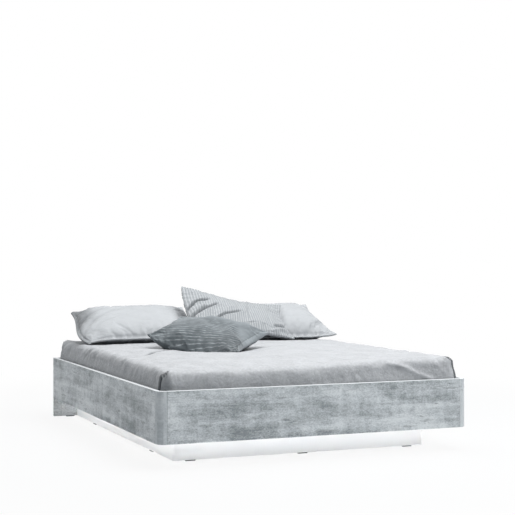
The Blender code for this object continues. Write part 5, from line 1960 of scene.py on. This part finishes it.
def make_pillows(bed: BedForm) -> list[Pillow]:
    """The four pillows, where the CAD model has them.

    Args:
        bed: form of the bed that they lie on.

    Returns:
        The pillows, the ribbed one first, as the sleeping pillows are pressed under it.
    """
    top = bed.top_edge + SHEET_OUTSIDE + bed.crown
    head, width = bed.half_y, 2 * bed.half_x
    ribbed = Pillow(
        "ribbed_pillow", "pillow_ribbed", SUCKER, 0.660, 0.420, 0.115, 0.11, 0.66,
        0.006, (width * (0.5 - 0.3648), head - 0.409, top + 0.156), (28.5, 10.0, -5.3), bed,
        underside=0.042, fill=0.35, seed=4.0, ribs=0.0155, sag=0.026, left_bulge=0.046,
        fold_shade=0.55, creases=(
            Crease(((-0.35, -0.14), (-0.315, -0.06), (-0.27, 0.01), (-0.18, 0.055)), 0.008,
                   -25 * MM, 0.15),
            Crease(((-0.34, -0.09), (-0.30, -0.01), (-0.22, 0.055)), 0.016, 8 * MM, 0.2),
            Crease(((-0.34, -0.24), (-0.30, -0.15), (-0.235, -0.08), (-0.13, 0.02)), 0.008,
                   -24 * MM, 0.15),
            Crease(((-0.33, -0.19), (-0.29, -0.10), (-0.21, -0.02)), 0.016, 14 * MM, 0.2),
            Crease(((-0.18, -0.175), (-0.10, -0.105), (0.03, -0.04)), 0.009, -17 * MM, 0.25),
            Crease(((-0.19, -0.13), (-0.10, -0.05), (0.02, 0.01)), 0.020, 7 * MM, 0.3),
            Crease(((0.33, -0.10), (0.29, -0.11), (0.22, -0.14)), 0.012, -14 * MM, 0.1),
            Crease(((0.32, -0.16), (0.27, -0.16), (0.20, -0.19)), 0.012, 8 * MM, 0.15)))
    left = Pillow(
        "left_sleeping_pillow", "pillow_left", PERCALE, 0.7203, 0.460, 0.188, 0.025, 0.54,
        0.009, (width * (0.2667 - 0.5), head - 0.268, top + 0.079), (20.5, 0.0, 0.0), bed,
        flange=0.012, cover=ribbed, seed=1.0, fill=0.7, left_bulge=0.034, left_skew=1.2,
        flange_droop=0.009, ear_shade=0.6, fold_shade=0.6, near_arch=0.026, fullness=2.9,
        corner_power=2.4, painted_shade_below=0.9, fold_share=0.55,
        corners=((0, 0, -0.004), (0, 0, 0), (-0.004, 0, -0.002), (-0.012, 0, 0.018)), creases=(
            Crease(((-0.37, -0.12), (-0.30, -0.01), (-0.20, 0.08), (-0.06, 0.14)), 0.022,
                   9 * MM, 0.2),
            Crease(((-0.37, -0.05), (-0.30, 0.05), (-0.20, 0.12), (-0.10, 0.15)), 0.016,
                   -9 * MM, 0.2),
            Crease(((-0.35, -0.13), (-0.27, -0.03), (-0.16, 0.05), (-0.02, 0.09)), 0.009,
                   -7 * MM, 0.3),
            Crease(((-0.33, -0.17), (-0.24, -0.09), (-0.12, -0.03)), 0.008, -4 * MM, 0.3),
            Crease(((-0.36, 0.13), (-0.26, 0.19), (-0.10, 0.19)), 0.045, 8 * MM, 0.3),
            Crease(((-0.10, 0.10), (0.08, 0.10), (0.28, 0.12)), 0.010, -4 * MM, 0.3),
            Crease(((0.355, 0.20), (0.27, 0.165), (0.14, 0.165)), 0.008, -6 * MM, 0.15),
            Crease(((0.355, 0.14), (0.28, 0.115), (0.18, 0.13)), 0.008, -5 * MM, 0.15),
            Crease(((-0.34, -0.15), (-0.25, -0.06), (-0.12, 0.01)), 0.012, 5 * MM, 0.2),
            Crease(((0.35, 0.13), (0.26, 0.07), (0.14, 0.05)), 0.012, -4 * MM, 0.2)))
    right = Pillow(
        "right_sleeping_pillow", "pillow_right", PERCALE, 0.7203, 0.460, 0.188, 0.025,
        0.54, 0.009, (width * (0.5 - 0.2055), head - 0.316, top + 0.087), (15.0, -1.5, 0.0), bed,
        flange=0.012, cover=ribbed, seed=9.0, fill=0.7, near_arch=-0.014, right_bulge=-0.020,
        fullness=2.8, corner_power=2.0, painted_shade_below=0.85,
        corners=((0, 0, 0), (0.006, 0.004, -0.028), (0, 0, 0), (-0.005, 0, 0.024)), creases=(
            Crease(((0.33, -0.10), (0.22, -0.09), (0.05, -0.12)), 0.012, -3 * MM, 0.2),
            Crease(((0.33, 0.02), (0.20, 0.03), (0.05, 0.0)), 0.014, -3 * MM, 0.2),
            Crease(((0.34, 0.20), (0.26, 0.12), (0.12, 0.08)), 0.014, -5 * MM, 0.2)))
    striped = Pillow(
        "striped_pillow", "pillow_striped", SLATE, 0.560, 0.390, 0.156, 0.02, 0.50,
        0.024, (width * (0.3836 - 0.5), head - 0.989, top + 0.052), (11.8, 8.1, -46.0), bed,
        seed=14.0, fill=0.75, right_bulge=-0.036, near_arch=-0.042, end_shade=0.4, creases=(
            Crease(((-0.16, 0.15), (0.0, 0.14), (0.14, 0.13), (0.29, 0.08)), 0.075, 27 * MM, 0.3),
            Crease(((-0.24, -0.10), (-0.14, -0.08), (0.0, -0.10)), 0.02, -3 * MM, 0.3)))
    return [ribbed, left, right, striped]


@dataclass
class Studio:
    """Pale floor, soft lamps, white surroundings and the photograph's camera."""

    camera_place: Vector3 = (-2.561, -6.426, 0.978)
    camera_heading: float = -22.498
    lens: float = 86.07
    sensor: float = 36.0
    surround: float = 0.145
    sky: str = "E4EEF5"
    floor_tint: str = "C4C7C9"
    floor_size: float = 30.0
    fade: tuple[float, float] = (1.2, 4.0)
    # Name, place, what it looks at, size and power in watts.
    lamps: tuple[tuple[str, Vector3, Vector3, float, float], ...] = (
        ("lamp_key", (1.6, -1.9, 5.0), (0.0, 0.0, 0.4), 4.0, 368.0),
        ("lamp_above", (-0.6, 1.0, 4.6), (0.0, 0.1, 0.4), 4.0, 156.0))

    def build(self) -> None:
        """Make the floor, world, lamps and camera."""
        self.floor()
        self.world()
        for name, place, aim, size, power in self.lamps:
            data = bpy.data.lights.new(name, "AREA")
            data.shape = "SQUARE"
            data.size = size
            data.energy = power
            lamp = in_scene(name, data)
            lamp.location = place
            lamp.rotation_euler = (Vector(aim) - Vector(place)).to_track_quat("-Z", "Y").to_euler()
        camera = bpy.data.cameras.new("camera")
        camera.lens = self.lens
        camera.sensor_width = self.sensor
        holder = in_scene("camera", camera)
        holder.location = self.camera_place
        holder.rotation_euler = (math.radians(90), 0, math.radians(self.camera_heading))
        bpy.context.scene.camera = holder
        bpy.context.scene.view_settings.view_transform = "Standard"

    def floor(self) -> None:
        """A pale floor that keeps the bed's soft shadow and melts into the surroundings."""
        size = self.floor_size
        corners = np.array([(-size, -size, 0), (size, -size, 0), (size, size, 0), (-size, size, 0)])
        piece = mesh_object("floor", corners, [(0, 1, 2, 3)], smooth=False)
        material = bpy.data.materials.new("pale_floor")
        material.use_nodes = True
        tree = material.node_tree
        tree.nodes.clear()
        place = add_node(tree, COORDS).outputs["Object"]
        reach = add_node(tree, "ShaderNodeVectorMath", {0: place}, operation="LENGTH")
        # Painted floor shows round the bed, and fades to the white surroundings 4 m away.
        share = add_node(tree, RANGE, {
            "Value": reach, "From Min": self.fade[0], "From Max": self.fade[1], "To Min": 0.89},
            interpolation_type="SMOOTHSTEP")
        seen = add_node(tree, "ShaderNodeLightPath").outputs
        direct = add_node(tree, MATH, {0: seen["Is Camera Ray"], 1: share},
                          operation="MULTIPLY")
        mirrored = add_node(tree, MATH, {
            0: seen["Is Glossy Ray"], 1: seen["Is Transmission Ray"]}, operation="ADD")
        shown = add_node(tree, MATH, {0: mirrored, 1: share}, operation="MULTIPLY")
        total = add_node(tree, MATH, {0: direct, 1: shown}, operation="MAXIMUM")
        paint = add_node(tree, "ShaderNodeBsdfDiffuse", {"Color": linear(self.floor_tint)})
        white = add_node(tree, "ShaderNodeEmission", {"Color": (1, 1, 1, 1), "Strength": 1.0})
        mixed = add_node(tree, "ShaderNodeMixShader", {0: total, 1: paint, 2: white})
        add_node(tree, "ShaderNodeOutputMaterial", {"Surface": mixed})
        piece.data.materials.append(material)

    def world(self) -> None:
        """White for the camera and in reflections, softer as a light."""
        world = bpy.data.worlds.new("surroundings")
        world.use_nodes = True
        tree = world.node_tree
        tree.nodes.clear()
        seen = add_node(tree, "ShaderNodeLightPath").outputs
        direct = add_node(tree, MATH, {
            0: seen["Is Camera Ray"], 1: seen["Is Glossy Ray"]}, operation="MAXIMUM")
        shown = add_node(tree, MATH, {0: direct, 1: seen["Is Transmission Ray"]},
                         operation="MAXIMUM")
        strength = add_node(tree, RANGE, {
            "Value": shown, "To Min": self.surround, "To Max": 1.0})
        colour = add_node(tree, MIX, {
            MIX_FACTOR: shown, MIX_A: linear(self.sky), MIX_B: (1, 1, 1, 1)}, data_type="RGBA")
        light = add_node(tree, "ShaderNodeBackground", {"Color": colour, "Strength": strength})
        add_node(tree, "ShaderNodeOutputWorld", {"Surface": light})
        bpy.context.scene.world = world


def main() -> None:
    """Build and dress the whole bed, one assembly after another."""
    logging.basicConfig(level=logging.INFO, format="%(name)s: %(message)s")
    Studio().build()
    for part in (Panels(), Base(), Lighting()):
        part.dress()
        part.build()
        LOG.info("dressed %s", type(part).__name__)
    bed = BedForm()
    pillows = make_pillows(bed)
    for piece in (Mattress(bed).build(), FittedSheet(bed, pillows).build()):
        LOG.info("built %s with %d faces", piece.name, len(piece.data.polygons))
    for pillow in pillows:
        piece = pillow.build()
        LOG.info("built %s with %d faces", piece.name, len(piece.data.polygons))


if __name__ == "__main__":
    main()
